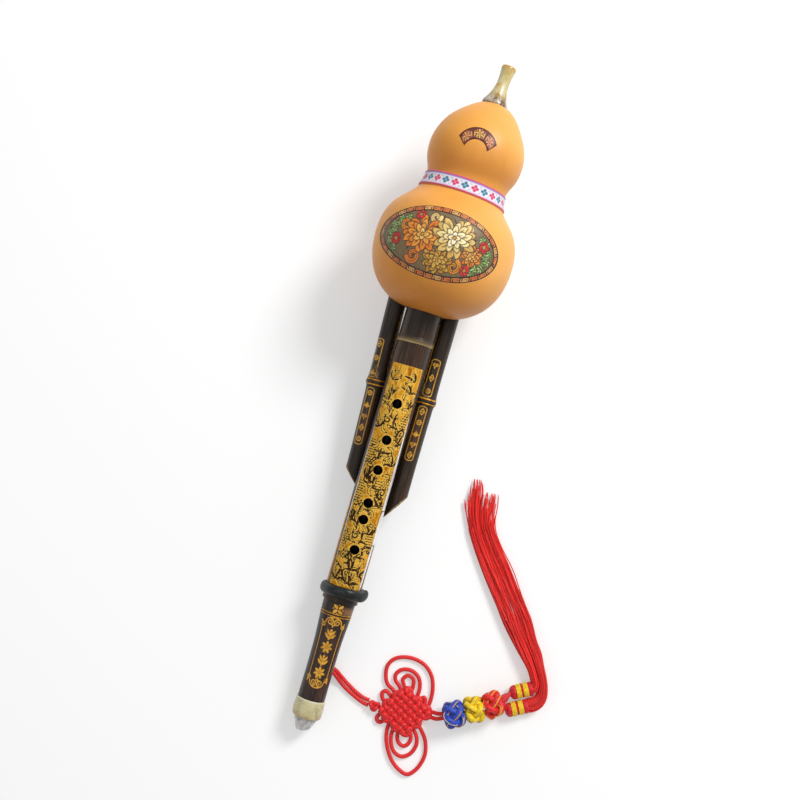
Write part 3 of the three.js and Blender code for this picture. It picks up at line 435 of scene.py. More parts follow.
class Canvas:
    """A grid of places with one depth of ink, and a colour, at each."""

    def __init__(self, across, along, step, ground=(0, 0, 0)):
        self.u = np.linspace(*across, max(2, round((across[1] - across[0]) / step) + 1))
        self.v = np.linspace(*along, max(2, round((along[1] - along[0]) / step) + 1))
        self.blur = step
        self.ink = np.zeros((len(self.v), len(self.u)))
        self.colour = np.empty(self.ink.shape + (3,))
        self.colour[:] = linear(*ground)

    def places(self, low, high):
        """The part of the grid inside a rectangle, with its coordinates."""
        rows = slice(*np.searchsorted(self.v, [low[1], high[1]]))
        columns = slice(*np.searchsorted(self.u, [low[0], high[0]]))
        u, v = np.meshgrid(self.u[columns], self.v[rows])
        return (rows, columns), u, v

    def fill(self, window, distance, ink, colour):
        """Lays ink and colour where a signed distance is below zero, softened over one grid step."""
        cover = np.clip(0.5 - distance / self.blur, 0, 1)
        old = self.ink[window]
        self.ink[window] = old + (ink - old) * cover
        if colour is not None:
            old = self.colour[window]
            self.colour[window] = old + (np.array(linear(*colour)) - old) * cover[..., None]

    def stroke(self, points, widths, ink=1, colour=None, closed=False):
        """A line through points whose half width changes along it: the distance to each straight
        part, less the half width there, and the least of these over all the parts."""
        points = np.asarray(points, float)
        if closed:
            points = np.concatenate([points, points[:1]])
        widths = np.broadcast_to(np.asarray(widths, float), len(points))
        reach = widths.max() + 2 * self.blur
        window, u, v = self.places(points.min(0) - reach, points.max(0) + reach)
        if u.size == 0:
            return
        best = np.full(u.shape, np.inf)
        for (ax, ay), (bx, by), wide_a, wide_b in zip(points[:-1], points[1:], widths[:-1], widths[1:]):
            dx, dy = bx - ax, by - ay
            share = np.clip(((u - ax) * dx + (v - ay) * dy) / (dx * dx + dy * dy + 1e-9), 0, 1)
            gap = np.hypot(u - ax - share * dx, v - ay - share * dy) - wide_a - (wide_b - wide_a) * share
            np.minimum(best, gap, out=best)
        self.fill(window, best, ink, colour)

    def leaf(self, start, heading, length, width, bend=0.0, ink=1, colour=None):
        """A leaf: a stroke whose half width swells as the sine of the way along it, and which bends
        sideways by `bend` times its length."""
        t = np.linspace(0, 1, 9)
        ahead = compass(heading)
        aside = np.array([-ahead[1], ahead[0]])
        points = np.asarray(start) + length * (t[:, None] * ahead + (bend * t ** 2)[:, None] * aside)
        self.stroke(points, width * np.sin(math.pi * (0.06 + 0.9 * t)) ** 0.8, ink, colour)

    def disc(self, centre, radius, ink=1, colour=None, ring=None):
        """A disc, or a ring of the half width `ring`."""
        reach = radius + (ring or 0) + 2 * self.blur
        window, u, v = self.places(np.array(centre) - reach, np.array(centre) + reach)
        gap = np.hypot(u - centre[0], v - centre[1]) - radius
        self.fill(window, np.abs(gap) - ring if ring else gap, ink, colour)

    def scroll(self, centre, radius, turns, start, hand, width):
        """A spiral whose radius shrinks evenly with its angle to a quarter, and which thins inwards."""
        t = np.linspace(0, 1, int(14 * turns) + 4)
        angle = start + hand * TAU * turns * t
        points = np.asarray(centre) + (radius * (1 - 0.78 * t))[:, None] * compass(angle)
        self.stroke(points, width * (1 - 0.4 * t))

    def curl(self, start, heading, length, width, turn, inside=0.0):
        """A stroke that curls up: its heading turns by `turn` times the way along to the power 1.6, and
        its half width swells as a sine. `inside` leaves a part of its width free along the middle."""
        t = np.linspace(0, 1, 15)
        angle = heading + turn * t ** 1.6
        points = np.asarray(start) + length / 15 * np.cumsum(compass(angle), 0)
        swell = width * np.sin(math.pi * (0.12 + 0.84 * t)) ** 0.7
        self.stroke(points, swell)
        if inside:
            self.stroke(points[2:-3], swell[2:-3] * inside, ink=0)

    def halo(self, share):
        """Lays a thin ink of `share` round all that is drawn, one step of the grid wide."""
        wide = self.ink
        for step in ((1, 0), (-1, 0), (0, 1), (0, -1), (1, 1), (1, -1), (-1, 1), (-1, -1)):
            wide = np.maximum(wide, np.roll(self.ink, step, (0, 1)))
        self.ink = np.maximum(self.ink, share * wide)

    def outlined_disc(self, centre, radius, line, dark, colour):
        """A coloured disc without ink, and a dark inked line round it."""
        self.disc(centre, radius + line, colour=dark)
        self.disc(centre, radius, 0, colour)


# Materials

class Socket:
    """One output of a material's nodes. Sums on it, with numbers on either side, add Math nodes."""

    def __init__(self, tree, socket=None):
        self.tree = tree
        self.socket = socket

    def add(self, kind, output=0, settings=None, inputs=None):
        """Adds a node of any kind: its settings first, then the values or links of its sockets."""
        node = self.tree.nodes.new(kind)
        for name, value in (settings or {}).items():
            if name == "stops":
                ramp = node.color_ramp
                while len(ramp.elements) > 1:
                    ramp.elements.remove(ramp.elements[-1])
                ramp.elements[0].position, ramp.elements[0].color = value[0][0], (*value[0][1], 1)
                for place, colour in value[1:]:
                    ramp.elements.new(place).color = (*colour, 1)
            else:
                setattr(node, name, value)
        for name, value in (inputs or {}).items():
            if isinstance(value, Socket):
                self.tree.links.new(value.socket, node.inputs[name])
            else:
                node.inputs[name].default_value = value
        return Socket(self.tree, node.outputs[output])

    def math(self, operation, *values):
        return self.add("ShaderNodeMath", settings={"operation": operation}, inputs=dict(enumerate(values)))

    def __add__(self, other):
        return self.math("ADD", self, other)

    __radd__ = __add__

    def __sub__(self, other):
        return self.math("SUBTRACT", self, other)

    def __rsub__(self, other):
        return self.math("SUBTRACT", other, self)

    def __mul__(self, other):
        return self.math("MULTIPLY", self, other)

    __rmul__ = __mul__

    def between(self, low, high):
        """0 at `low` and below, 1 at `high` and above, evenly between."""
        return self.add("ShaderNodeMapRange", inputs={"Value": self, "From Min": low, "From Max": high})

    def mix(self, first, second):
        """The first colour where this is 0, and the second where it is 1."""
        def filled(colour):
            return colour if isinstance(colour, Socket) else (*colour, 1)
        return self.add("ShaderNodeMix", output=2, settings={"data_type": "RGBA"},
                        inputs={0: self, 6: filled(first), 7: filled(second)})

    def ramp(self, *stops):
        return self.add("ShaderNodeValToRGB", settings={"stops": stops}, inputs={"Fac": self})

    def screen_ramp(self, *stops):
        """A ramp whose colours are written in 0 to 255."""
        return self.ramp(*((place, linear(*colour)) for place, colour in stops))

    def sine(self):
        return self.math("SINE", self)


class Finish:
    """A material: its shader with constants on its own sockets, and ways to read places."""

    def __init__(self, name, **constants):
        self.material = bpy.data.materials.new(name)
        self.material.use_nodes = True
        self.tree = self.material.node_tree
        self.shader = self.tree.nodes["Principled BSDF"]
        for socket, value in constants.items():
            self.shader.inputs[socket.replace("_", " ")].default_value = value
        self.root = Socket(self.tree)

    def local(self, matrix, stretch=(1, 1, 1)):
        """The place on the piece in its own frame's millimetres, each axis divided by `stretch`."""
        where = self.root.add("ShaderNodeTexCoord", output="Object")
        return self.root.add("ShaderNodeMapping", settings={"vector_type": "TEXTURE"}, inputs={
            "Vector": where, "Location": matrix.to_translation(), "Rotation": matrix.to_euler(),
            "Scale": [MM * s for s in stretch]})

    def noise(self, place, scale, detail, roughness=0.5, distortion=0.0):
        return self.root.add("ShaderNodeTexNoise", inputs={
            "Vector": place, "Scale": scale, "Detail": detail, "Roughness": roughness,
            "Distortion": distortion})

    def parts(self, place):
        """The three numbers of a place."""
        split = self.root.add("ShaderNodeSeparateXYZ", inputs={"Vector": place}).socket.node
        return [Socket(self.tree, out) for out in split.outputs]

    def around_along(self):
        """The piece's own surface coordinates."""
        return self.parts(self.root.add("ShaderNodeTexCoord", output="UV"))[:2]

    def value(self, name):
        return self.root.add("ShaderNodeAttribute", output="Fac", settings={"attribute_name": name})

    def painted(self, name):
        return self.root.add("ShaderNodeAttribute", output="Color", settings={"attribute_name": name})

    def feed(self, socket, source):
        self.tree.links.new(source.socket, self.shader.inputs[socket])

    def lay(self, colour, roughness, height=None, strength=0.0, distance=0.0):
        """Feeds the shader a colour, a roughness and a bump: the surface rises by `height`, in
        millimetres where the distance is 1."""
        self.feed("Base Color", colour)
        self.feed("Roughness", roughness)
        if height:
            self.feed("Normal", self.root.add("ShaderNodeBump", inputs={
                "Height": height, "Strength": strength, "Distance": distance * MM}))
        return self


FINISHES = {}


def finish(name):
    """The material of a name, made on first use by its function and what that takes."""
    if name not in FINISHES:
        maker, *settings = MAKERS[name]
        FINISHES[name] = maker(name, *settings).material
    return FINISHES[name]


def shade(colour, factor):
    """A colour made lighter or darker by a factor."""
    return tuple(min(1.0, part * factor) for part in colour[:3])


def tinted(colour, *factors):
    """A colour whose red, green and blue each have a factor of their own."""
    return tuple(part * factor for part, factor in zip(colour, factors))


def tone(name):
    """A colour of the scene's settings."""
    return tuple(getattr(bpy.context.scene.hulusi_colours, name))


def gourd_skin(name):
    """Golden rind: wide cloudy patches, fine pores and a waxy polish, with a painted highlight that makes the
    right side lighter and paler, and painted shade that darkens the bottom and the lower part of the bulb
    above the ribbon.
    """
    skin = Finish(name, Specular_IOR_Level=0.35, Coat_Weight=0.08, Coat_Roughness=0.3)
    place = skin.local(INSTRUMENT)
    cloud = skin.noise(place, 0.028, 3, 0.55, 0.6)
    grain = skin.noise(place, 0.45, 3, 0.6)
    gold = tone("gourd")
    rind = cloud.ramp((0.32, shade(gold, 0.9)), (0.5, gold), (0.68, shade(gold, 1.07)))
    pores = skin.noise(place, 1.9, 1).between(0.66, 0.74)
    across, along, _ = skin.parts(place)
    station = along + 16 * cloud
    # Painted shade mask: the gourd's bottom, and the lower part of the bulb above the ribbon.
    foot = skin.root.math("MAXIMUM", 1 - station.between(276.0, 322.0),
                          0.55 * station.between(362.0, 372.0) * (1 - station.between(378.0, 396.0)))
    # Painted highlight: the rind lighter and paler towards the right side.
    highlit_rind = ((across + 12 * cloud).between(-16.0, 40.0) * 0.75).mix(rind, tinted(gold, 1.08, 1.3, 2.0))
    # Painted shade: the rind darkens where the mask above is.
    highlit_and_shaded_rind = (foot * 0.9).mix(highlit_rind, tinted(gold, 0.62, 0.44, 0.2))
    return skin.lay((pores * 0.25).mix(highlit_and_shaded_rind, shade(gold, 0.6)), 0.38 + 0.16 * grain,
                    grain + 0.4 * skin.noise(place, 0.07, 2), 0.35, 0.12)


def bamboo_ground(wood, colour):
    """Smoked bamboo's colour: long dark and light fibres, and red-brown clouds."""
    fibre = wood.noise(wood.local(INSTRUMENT, (1, 30, 1)), 1.1, 4, 0.62)
    cloud = wood.noise(wood.local(INSTRUMENT, (1, 2.6, 1)), 0.07, 3)
    dark = fibre.ramp((0.34, shade(colour, 0.45)), (0.52, colour), (0.72, shade(colour, 2.3)))
    warm = tinted(colour, 1.5, 1.1, 0.85)
    brown = fibre.ramp((0.36, shade(warm, 0.6)), (0.52, shade(warm, 1.5)), (0.66, shade(warm, 3.8)))
    return cloud.between(0.48, 0.66).mix(dark, brown), fibre


def smoked_bamboo(name):
    """The melody pipe and the drones: dark polished bamboo with fine fibres standing along it."""
    wood = Finish(name, Specular_IOR_Level=0.25, Coat_Weight=0.2, Coat_Roughness=0.2)
    ground, fibre = bamboo_ground(wood, tone("bamboo"))
    return wood.lay(ground, 0.3 + 0.22 * fibre, fibre, 0.3, 0.09)


def grained(name, shine, stretch, noise, stops, rough, bump):
    """A finish made by one noise, which colours, roughens and raises the surface."""
    look = Finish(name, **shine)
    grain = look.noise(look.local(INSTRUMENT, stretch), *noise)
    return look.lay(grain.screen_ramp(*stops), rough[0] + rough[1] * grain, grain, *bump)


def bare_bamboo(name, *colours):
    """Pale bamboo in a dark, a middle and a light colour: where the dark skin has been cut away, and as a
    painted highlight above the drones' joints.
    """
    return grained(name, dict(Specular_IOR_Level=0.3, Coat_Weight=0.15, Coat_Roughness=0.3), (1, 5, 1),
                   (0.8, 4, 0.62), zip((0.36, 0.52, 0.68), colours), (0.5, 0.2), (0.3, 0.1))


def joint_bamboo(name):
    """The joint ring: tan, with a painted highlight on its bright lower lip, darkening upwards to the pipe's
    colour.
    """
    wood = Finish(name, Specular_IOR_Level=0.3, Coat_Weight=0.2, Coat_Roughness=0.25)
    place = wood.local(INSTRUMENT)
    soft = wood.noise(place, 0.25, 2)
    band = (wood.parts(place)[1] + 0.7 * soft).between(PIPE_NODE - 2, PIPE_NODE + 2.6)
    # The brightest tan, near the ring's lower lip, is a painted highlight.
    tan = band.screen_ramp((0.0, (58, 46, 30)), (0.14, (186, 160, 108)), (0.34, (128, 106, 68)),
                           (0.62, (82, 68, 46)), (1.0, (46, 37, 27)))
    return wood.lay(tan, 0.4 + 0.25 * soft, wood.noise(place, 1.2, 2), 0.2, 0.1)


def gold_colour(metal):
    """Rubbed gold paint: bright and dull patches, and thin scratches along the pipe."""
    patch = metal.noise(metal.local(INSTRUMENT), 0.3, 4, 0.62)
    scratch = metal.noise(metal.local(INSTRUMENT, (1, 16, 1)), 1.3, 2).between(0.56, 0.72)
    gold = tone("gold")
    rubbed = patch.ramp((0.36, tinted(gold, 0.52, 0.4, 0.3)), (0.5, gold),
                        (0.64, tinted(gold, 1.26, 1.42, 2.0)))
    return (scratch * 0.6).mix(rubbed, tinted(gold, 0.5, 0.36, 0.3)), patch


def engraved_gold(name):
    """The gold panel of the melody pipe, with dark engraving where the ink is, and a painted highlight of
    bright gold round the engraving's edges.
    """
    metal = Finish(name, Specular_IOR_Level=0.15)
    gold, patch = gold_colour(metal)
    ink = metal.value("ink")
    # Painted highlight: brighter gold where the thin ink round the engraving lies.
    rim = (ink.between(0.0, 0.4) * 0.8).mix(gold, linear(252, 206, 92))
    dark = patch.screen_ramp((0.36, (30, 18, 8)), (0.62, (66, 38, 13)))
    metal.feed("Metallic", 0.25 - 0.25 * ink)
    return metal.lay(ink.between(0.42, 0.9).mix(rim, dark), 0.4 + 0.15 * patch + 0.15 * ink,
                     1 - ink, 0.6, 0.14)


def gilt(metal, ground, fibre):
    """Dark bamboo with gold drawing where the ink is."""
    gold, patch = gold_colour(metal)
    ink = metal.value("ink")
    bright = (0.25 + 0.5 * patch).mix(gold, linear(252, 192, 70))
    metal.feed("Metallic", 0.25 * ink)
    return metal.lay(ink.mix(ground, bright), 0.32 + 0.2 * fibre, ink + 0.25 * fibre, 0.4, 0.1)


def gilt_bamboo(name):
    """The gold frames of the drones."""
    metal = Finish(name, Specular_IOR_Level=0.3, Coat_Weight=0.3, Coat_Roughness=0.12)
    return gilt(metal, *bamboo_ground(metal, tone("bamboo")))


def tail_ground(name):
    """The tail's plum-brown bamboo, with a tan place on its right shoulder, below the collar."""
    wood = Finish(name, Specular_IOR_Level=0.3, Coat_Weight=0.25, Coat_Roughness=0.16)
    ground, fibre = bamboo_ground(wood, tone("tail"))
    across, station, _ = wood.parts(wood.local(INSTRUMENT))
    soft = 2.2 * fibre
    tan = ((across + soft).between(4.4, 6.4) * (station + soft).between(77.6, 78.6)
           * (1 - (station + soft).between(81.4, 83.6)))
    return wood, (tan * 0.8).mix(ground, linear(140, 102, 62)), fibre


def gilt_tail(name):
    """The gold frame of the tail joint."""
    return gilt(*tail_ground(name))


def tail_bamboo(name):
    """The tail joint, with fine lines along it."""
    wood, ground, fibre = tail_ground(name)
    return wood.lay(ground, 0.34 + 0.2 * fibre, fibre, 0.35, 0.1)


def plain_gold(name):
    """Gold paint without engraving."""
    metal = Finish(name, Metallic=0.25, Specular_IOR_Level=0.3)
    gold, patch = gold_colour(metal)
    return metal.lay(gold, 0.38 + 0.15 * patch)


def worn_silver(name):
    """A painted highlight: the bright strips beside the panel's edges, as whitish metal that dulls in
    patches.
    """
    metal = Finish(name)
    patch = metal.noise(metal.local(INSTRUMENT, (1, 5, 1)), 0.4, 3, 0.6)
    metal.feed("Metallic", 0.25 + 0.3 * patch)
    return metal.lay(patch.screen_ramp((0.3, (206, 204, 198)), (0.55, (246, 246, 244))), 0.2 + 0.2 * patch)


def ferrule_horn(name):
    """Polished cream horn: amber clouds, a darker foot and a pale rim at the top."""
    horn = Finish(name, Coat_Weight=0.5, Coat_Roughness=0.08, Specular_IOR_Level=0.5)
    place = horn.local(INSTRUMENT)
    station = horn.parts(place)[1]
    cloud = horn.noise(place, 0.16, 3, 0.55, 1.2)
    cream = tone("horn")
    body = cloud.ramp((0.34, shade(cream, 0.66)), (0.5, cream), (0.66, shade(cream, 1.1)))
    foot = 1 - (station + 6 * cloud).between(11.0, 15.0)
    blotch = horn.noise(place, 0.34, 2, 0.6, 0.8).between(0.42, 0.62)
    amber = (foot * (0.25 + 0.7 * blotch)).mix(body, linear(178, 136, 66))
    fine = horn.noise(horn.local(INSTRUMENT, (1, 12, 1)), 0.8, 2)
    return horn.lay(station.between(18.3, 18.8).mix(amber, linear(222, 214, 182)), 0.24 + 0.12 * cloud,
                    fine + cloud, 0.2, 0.15)


def mouthpiece_horn(name):
    """Turned horn: grey and brown at the foot, straw yellow above, with an amber heart at the lip."""
    horn = Finish(name, Coat_Weight=0.5, Coat_Roughness=0.1)
    station = horn.parts(horn.local(STEM))[1]
    cloud = horn.noise(horn.local(STEM, (1, 2.6, 1)), 0.26, 3, 0.55, 0.8)
    cream = shade(tone("horn"), 1.06)
    body = cloud.ramp((0.38, linear(184, 134, 48)), (0.49, linear(206, 182, 110)), (0.6, cream),
                      (0.7, shade(cream, 1.1)))
    lip = (station + 3 * cloud).between(25.2, 27.8)
    body = (lip * 0.7).mix(body, linear(196, 144, 52))
    grey = (1 - (station - 7 * cloud + 3).between(2.5, 9.0)) * 0.85
    lower = cloud.screen_ramp((0.42, (84, 62, 54)), (0.5, (160, 150, 144)), (0.64, (204, 196, 180)))
    return horn.lay(grey.mix(body, lower), 0.24 + 0.12 * cloud, cloud, 0.1, 0.2)


def soft_ring(name):
    """The collar: black-green rubber, dusty on its shoulder."""
    rubber = Finish(name, Specular_IOR_Level=0.4)
    place = rubber.local(INSTRUMENT)
    cloud = rubber.noise(place, 0.3, 3, 0.6)
    dusty = cloud.screen_ramp((0.38, (14, 18, 16)), (0.55, (26, 33, 31)), (0.72, (48, 58, 56)))
    return rubber.lay(dusty, 0.26 + 0.26 * cloud, rubber.noise(place, 0.9, 3), 0.25, 0.2)


def painted_carving(name):
    """A carved and coloured picture: its paint is drawn on the points, and its outlines are cut in."""
    paint = Finish(name, Coat_Weight=0.15, Coat_Roughness=0.3)
    grain = paint.noise(paint.local(INSTRUMENT), 0.8, 3, 0.6)
    patchy = grain.ramp((0.3, (0.7, 0.68, 0.64)), (0.6, (1.3, 1.3, 1.3)))
    mottled = paint.root.add("ShaderNodeMix", output=2, settings={
        "data_type": "RGBA", "blend_type": "MULTIPLY"}, inputs={0: 0.4, 6: paint.painted("paint"), 7: patchy})
    return paint.lay(mottled, 0.45 + 0.15 * grain, 1 - paint.value("ink") + 0.2 * grain, 0.6, 0.25)


def woven_ribbon(name):
    """Ribbon: its pattern is drawn on the points, and warp and weft stand up as crossed waves, with painted
    shade in the hollows between them.
    """
    cloth = Finish(name, Sheen_Weight=0.3, Specular_IOR_Level=0.2)
    across, along = cloth.around_along()
    weave = (across * (TAU / 0.55)).sine() * (along * (TAU / 0.45)).sine()
    # Painted shade: the pattern greys where the weave is low.
    return cloth.lay((0.12 - 0.12 * weave).mix(cloth.painted("paint"), (0.35, 0.3, 0.38)),
                     0.8 + 0.1 * weave, weave, 0.4, 0.12)


def satin_cord(name, dye, light, deep, braid):
    """Satin braided cord: two crossed helices of plies, with painted shade in the grooves between them, and a
    soft sheen. The plies and the shaded grooves are the dye's tone times `light` and `deep`."""
    cord = Finish(name, Sheen_Weight=0.2, Sheen_Roughness=0.4, Specular_IOR_Level=0.45)
    around, along = cord.around_along()
    leaning, counter = (((around * 3 + along * (way * 0.55 * braid)) * TAU).sine() for way in (1, -1))
    ply = cord.root.math("MAXIMUM", leaning, counter)
    grain = cord.noise(cord.local(CORD), 0.7, 2)
    # Painted shade: the dye darkens in the grooves between the plies.
    groove_shade = cord.root.math("MAXIMUM", 0.55 - 0.35 * ply - 0.2 * grain, 0.0)
    return cord.lay(groove_shade.mix(shade(tone(dye), light), shade(tone(dye), deep)), 0.38 + 0.2 * grain,
                    ply, 0.35, 0.12)


def metal_thread(name):
    """Thin wrapped thread whose colour is drawn on its points, with painted shade in the grooves of its
    twist.
    """
    thread = Finish(name, Specular_IOR_Level=0.6)
    twist = (thread.around_along()[1] * (TAU / 0.5)).sine()
    # Painted shade: darker where the twist is low.
    return thread.lay((0.25 - 0.2 * twist).mix(thread.painted("paint"), (0.2, 0.09, 0.02)),
                      0.42 + 0.1 * twist, twist, 0.3, 0.08)


def yellow_thread(name):
    """Bands of wound yellow thread."""
    thread = Finish(name, Sheen_Weight=0.3)
    grain = thread.noise(thread.local(CORD), 1.1, 3)
    yellow = tone("yellow")
    return thread.lay(grain.ramp((0.3, shade(yellow, 0.6)), (0.5, yellow), (0.7, shade(yellow, 1.3))),
                      0.45 + 0.2 * grain, grain, 0.3, 0.1)


def tassel_thread(name):
    """Tassel threads: each has its own shade, and a fine twist runs along it, with painted shade in its
    grooves.
    """
    thread = Finish(name, Sheen_Weight=0.3, Sheen_Roughness=0.4, Specular_IOR_Level=0.3)
    around, along = thread.around_along()
    twist = ((around + along * 0.7) * TAU).sine()
    red = tone("tassel")
    own = thread.value("tint").ramp((0.0, shade(red, 0.55)), (0.35, red), (1.0, shade(red, 1.35)))
    # Painted shade: darker where the twist is low.
    return thread.lay((0.2 - 0.2 * twist).mix(own, shade(red, 0.5)), 0.5 + 0.12 * twist, twist, 0.3, 0.08)


def block_wood(name):
    """Pale brown wood of the block and the bush."""
    wood = Finish(name)
    ring = wood.root.add("ShaderNodeTexWave", inputs={
        "Vector": wood.local(INSTRUMENT, (1, 9, 1)), "Scale": 0.5, "Distortion": 5.0, "Detail": 2.0})
    grain = wood.noise(wood.local(INSTRUMENT, (1, 14, 1)), 1.3, 3)
    brown = (ring * 0.6 + grain * 0.4).screen_ramp((0.2, (84, 50, 28)), (0.8, (136, 88, 52)))
    return wood.lay(brown, 0.55 + 0.2 * grain, grain, 0.3, 0.1)


def cork_bark(name):
    """Cork: pale grains and dark pits."""
    bark = Finish(name, Specular_IOR_Level=0.2)
    place = bark.local(INSTRUMENT)
    grain = bark.noise(place, 0.9, 4, 0.65)
    pits = bark.noise(place, 0.6, 1).between(0.62, 0.7)
    pale = grain.screen_ramp((0.3, (150, 108, 66)), (0.7, (208, 168, 118)))
    return bark.lay((pits * 0.8).mix(pale, linear(84, 54, 32)), 0.8 + 0.1 * grain, grain - pits, 0.5, 0.2)


# The function of each finish, and what it takes: a dye, the shade of its plies and the painted shade of its
# grooves, and the braid for a cord; the shine, stretch, noise, colour stops, roughness and bump for a grained
# finish.
MAKERS = {maker.__name__: (maker,) for maker in (
    gourd_skin, smoked_bamboo, joint_bamboo, engraved_gold, gilt_bamboo, gilt_tail, plain_gold, worn_silver,
    tail_bamboo, ferrule_horn, mouthpiece_horn, soft_ring, painted_carving, woven_ribbon, metal_thread,
    yellow_thread, tassel_thread, block_wood, cork_bark)}
MAKERS.update({
    "pale_bamboo": (bare_bamboo, (84, 62, 34), (146, 118, 72), (190, 166, 112)),
    # Tan bamboo of the painted highlight above the drones' joints.
    "worn_bamboo": (bare_bamboo, (44, 34, 22), (98, 78, 48), (158, 130, 84)),
    "red_cord": (satin_cord, "cord", 1, 0.38, 1.0),
    "crimson_cord": (satin_cord, "crimson", 1, 0.45, 1.0),
    "blue_cord": (satin_cord, "blue", 1, 0.35, 0.7),
    "yellow_cord": (satin_cord, "yellow", 1, 0.68, 0.7),
    "scarlet_cord": (satin_cord, "cord", 0.95, 0.45, 0.7),
    "nozzle_horn": (grained, dict(Coat_Weight=0.5, Coat_Roughness=0.1), (1, 2, 1), (0.35, 3, 0.5, 0.6),
                    ((0.34, (162, 158, 158)), (0.5, (208, 205, 204)), (0.66, (234, 232, 230))),
                    (0.25, 0.1), (0.3, 0.3)),
    "reed_brass": (grained, dict(Metallic=1.0), (14, 1, 1), (2.5, 2),
                   ((0.3, (184, 142, 62)), (0.7, (222, 184, 96))), (0.25, 0.2), (0.2, 0.05)),
})


# Cord, knot and tassels, in the cord's frame: x to the right, y along the floor, z up. The routes
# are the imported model's own.

CORD_RADIUS = 1.15
FLOOR_GAP = 0.15
ROUTE_SPACING = 0.9
GOLDEN_ANGLE = 2.399963
STRAND_ROUTES = (
    ((5.1, 40.4, 10), (7.8, 40.6, 8.1), (10.8, 39.4, 5.2), (13.5, 37.3, 2.7), (16.5, 35.3, 1.5),
     (20.2, 33, 1.3), (26.6, 29.6, 1.3), (32.6, 27.4, 1.3), (36.4, 27, 1.5)),
    ((5.1, 38, 9.7), (7.8, 38.2, 7.9), (10.6, 36.6, 4.9), (13.4, 34.3, 2.5), (16.6, 31.9, 1.4),
     (20.5, 29.6, 1.3), (26.7, 26.7, 1.3), (32.5, 24.5, 1.3), (36.4, 23.8, 1.5)),
)
EAR_LOOPS = {
    "upper_ear_1": ((51.5, 34.5), (49.5, 37.2), (44.6, 40.2), (42, 45.4), (41.6, 51.8), (45, 57), (54, 60.1),
                    (63.8, 58.6), (70.2, 53.4), (73.2, 46.9), (74.3, 39), (73.6, 33.5), (71.5, 30.5)),
    "upper_ear_2": ((55.2, 37.5), (52, 41.3), (48.9, 43.9), (48.2, 47.6), (50.9, 51.2), (56.9, 52.5),
                    (62.6, 49.8), (65.2, 44.6), (65.4, 38.6), (64, 33.5)),
    "upper_ear_3": ((58, 37), (55.3, 42), (53.4, 45.6), (55.8, 48.8), (59.6, 47.8), (61, 43.6), (60.6, 37.5)),
    "lower_ear_1": ((54.2, 20), (52.4, 14.5), (54, 5.4), (60.4, -5), (67.4, -9.9), (72.7, -11), (77.6, -6),
                    (80.2, 3.4), (78.2, 11.8), (74.3, 17.4), (70, 21.5)),
    "lower_ear_2": ((57.6, 18), (55.9, 11.6), (57.3, 4.9), (60.9, 0.1), (66.1, -1.3), (71.2, 2.3),
                    (73.2, 8.8), (71.3, 14.2), (67.5, 18)),
    "lower_ear_3": ((61, 16.5), (59.8, 10.8), (61.5, 6.9), (65.2, 5.3), (68.2, 7.9), (68.4, 12), (66, 16.5)),
}
SIDE_LOOPS = (
    ((47.5, 27.5), (43.8, 31), (43, 34.1), (45.2, 35.6), (48.2, 33.9), (50.5, 31)),
    ((49.5, 22.5), (45.4, 20.6), (43.9, 17.6), (45.8, 15.5), (48.3, 16.9), (50.8, 21)),
    ((67, 31.5), (68, 36.9), (70, 38.4), (71.1, 35.6), (69.5, 29.5)),
)
PAD_TURN = 13.5 * DEGREE
PAD_HALF_LENGTH, PAD_HALF_WIDTH = 16.6, 14.8
ENTRY_KNOT = (40.2, 24.7)
PAD_LINK = ((71.5, 29.4, 2.6), (73.5, 29.4, 3), (77.5, 29.6, 4.2), (80.8, 30, 7.2), (85.5, 32, 9.2))
BUTTON_TURN = 30 * DEGREE
BUTTONS = {
    "blue_button": dict(at=(90.5, 34.3), length=13.6, slot="blue_cord", cord="blue_cord", phase=0.5,
                        threads=((236, 170, 60), (232, 226, 214))),
    "yellow_button": dict(at=(101.8, 40.8), length=12.0, slot="yellow_cord", cord="yellow_cord", phase=2.1,
                          threads=((240, 170, 30), (120, 84, 30))),
    "red_button": dict(at=(112.6, 47.0), length=12.3, slot="red_cord", cord="scarlet_cord", phase=4.0,
                       threads=((250, 205, 60), (246, 180, 50))),
}
BUTTON_RADIUS, BUTTON_ROPE, BUTTON_SWELL = 9.2, 1.85, 1.15
KNOT_STEPS = 420
HEAD_TURN = 27.8 * DEGREE
HEAD_RADIUS, HEAD_LENGTH = 4.4, 13.5
HEAD_SIDE = ((0.02, -1.2), (2.2, -1.1), (3.7, -0.2), (4.4, 1.3), (4.3, 2.4), (4.05, 3.1), (4.05, 5.9),
             (4.4, 6.4), (4.45, 7.0), (4.1, 7.7), (4.05, 10.5), (4.35, 11.2), (4.45, 12.4), (4.2, 13.5),
             (2.0, 13.9), (0.02, 13.9))
BAND_LENGTH, BAND_PLACES, BAND_TURNS = 2.6, (3.2, 7.8), 5
LINK_ROOT, LINK_WAIST, LINK_ROPE = (115.0, 48.4, 9.4), (119.0, 50.8, 8.3), 1.3
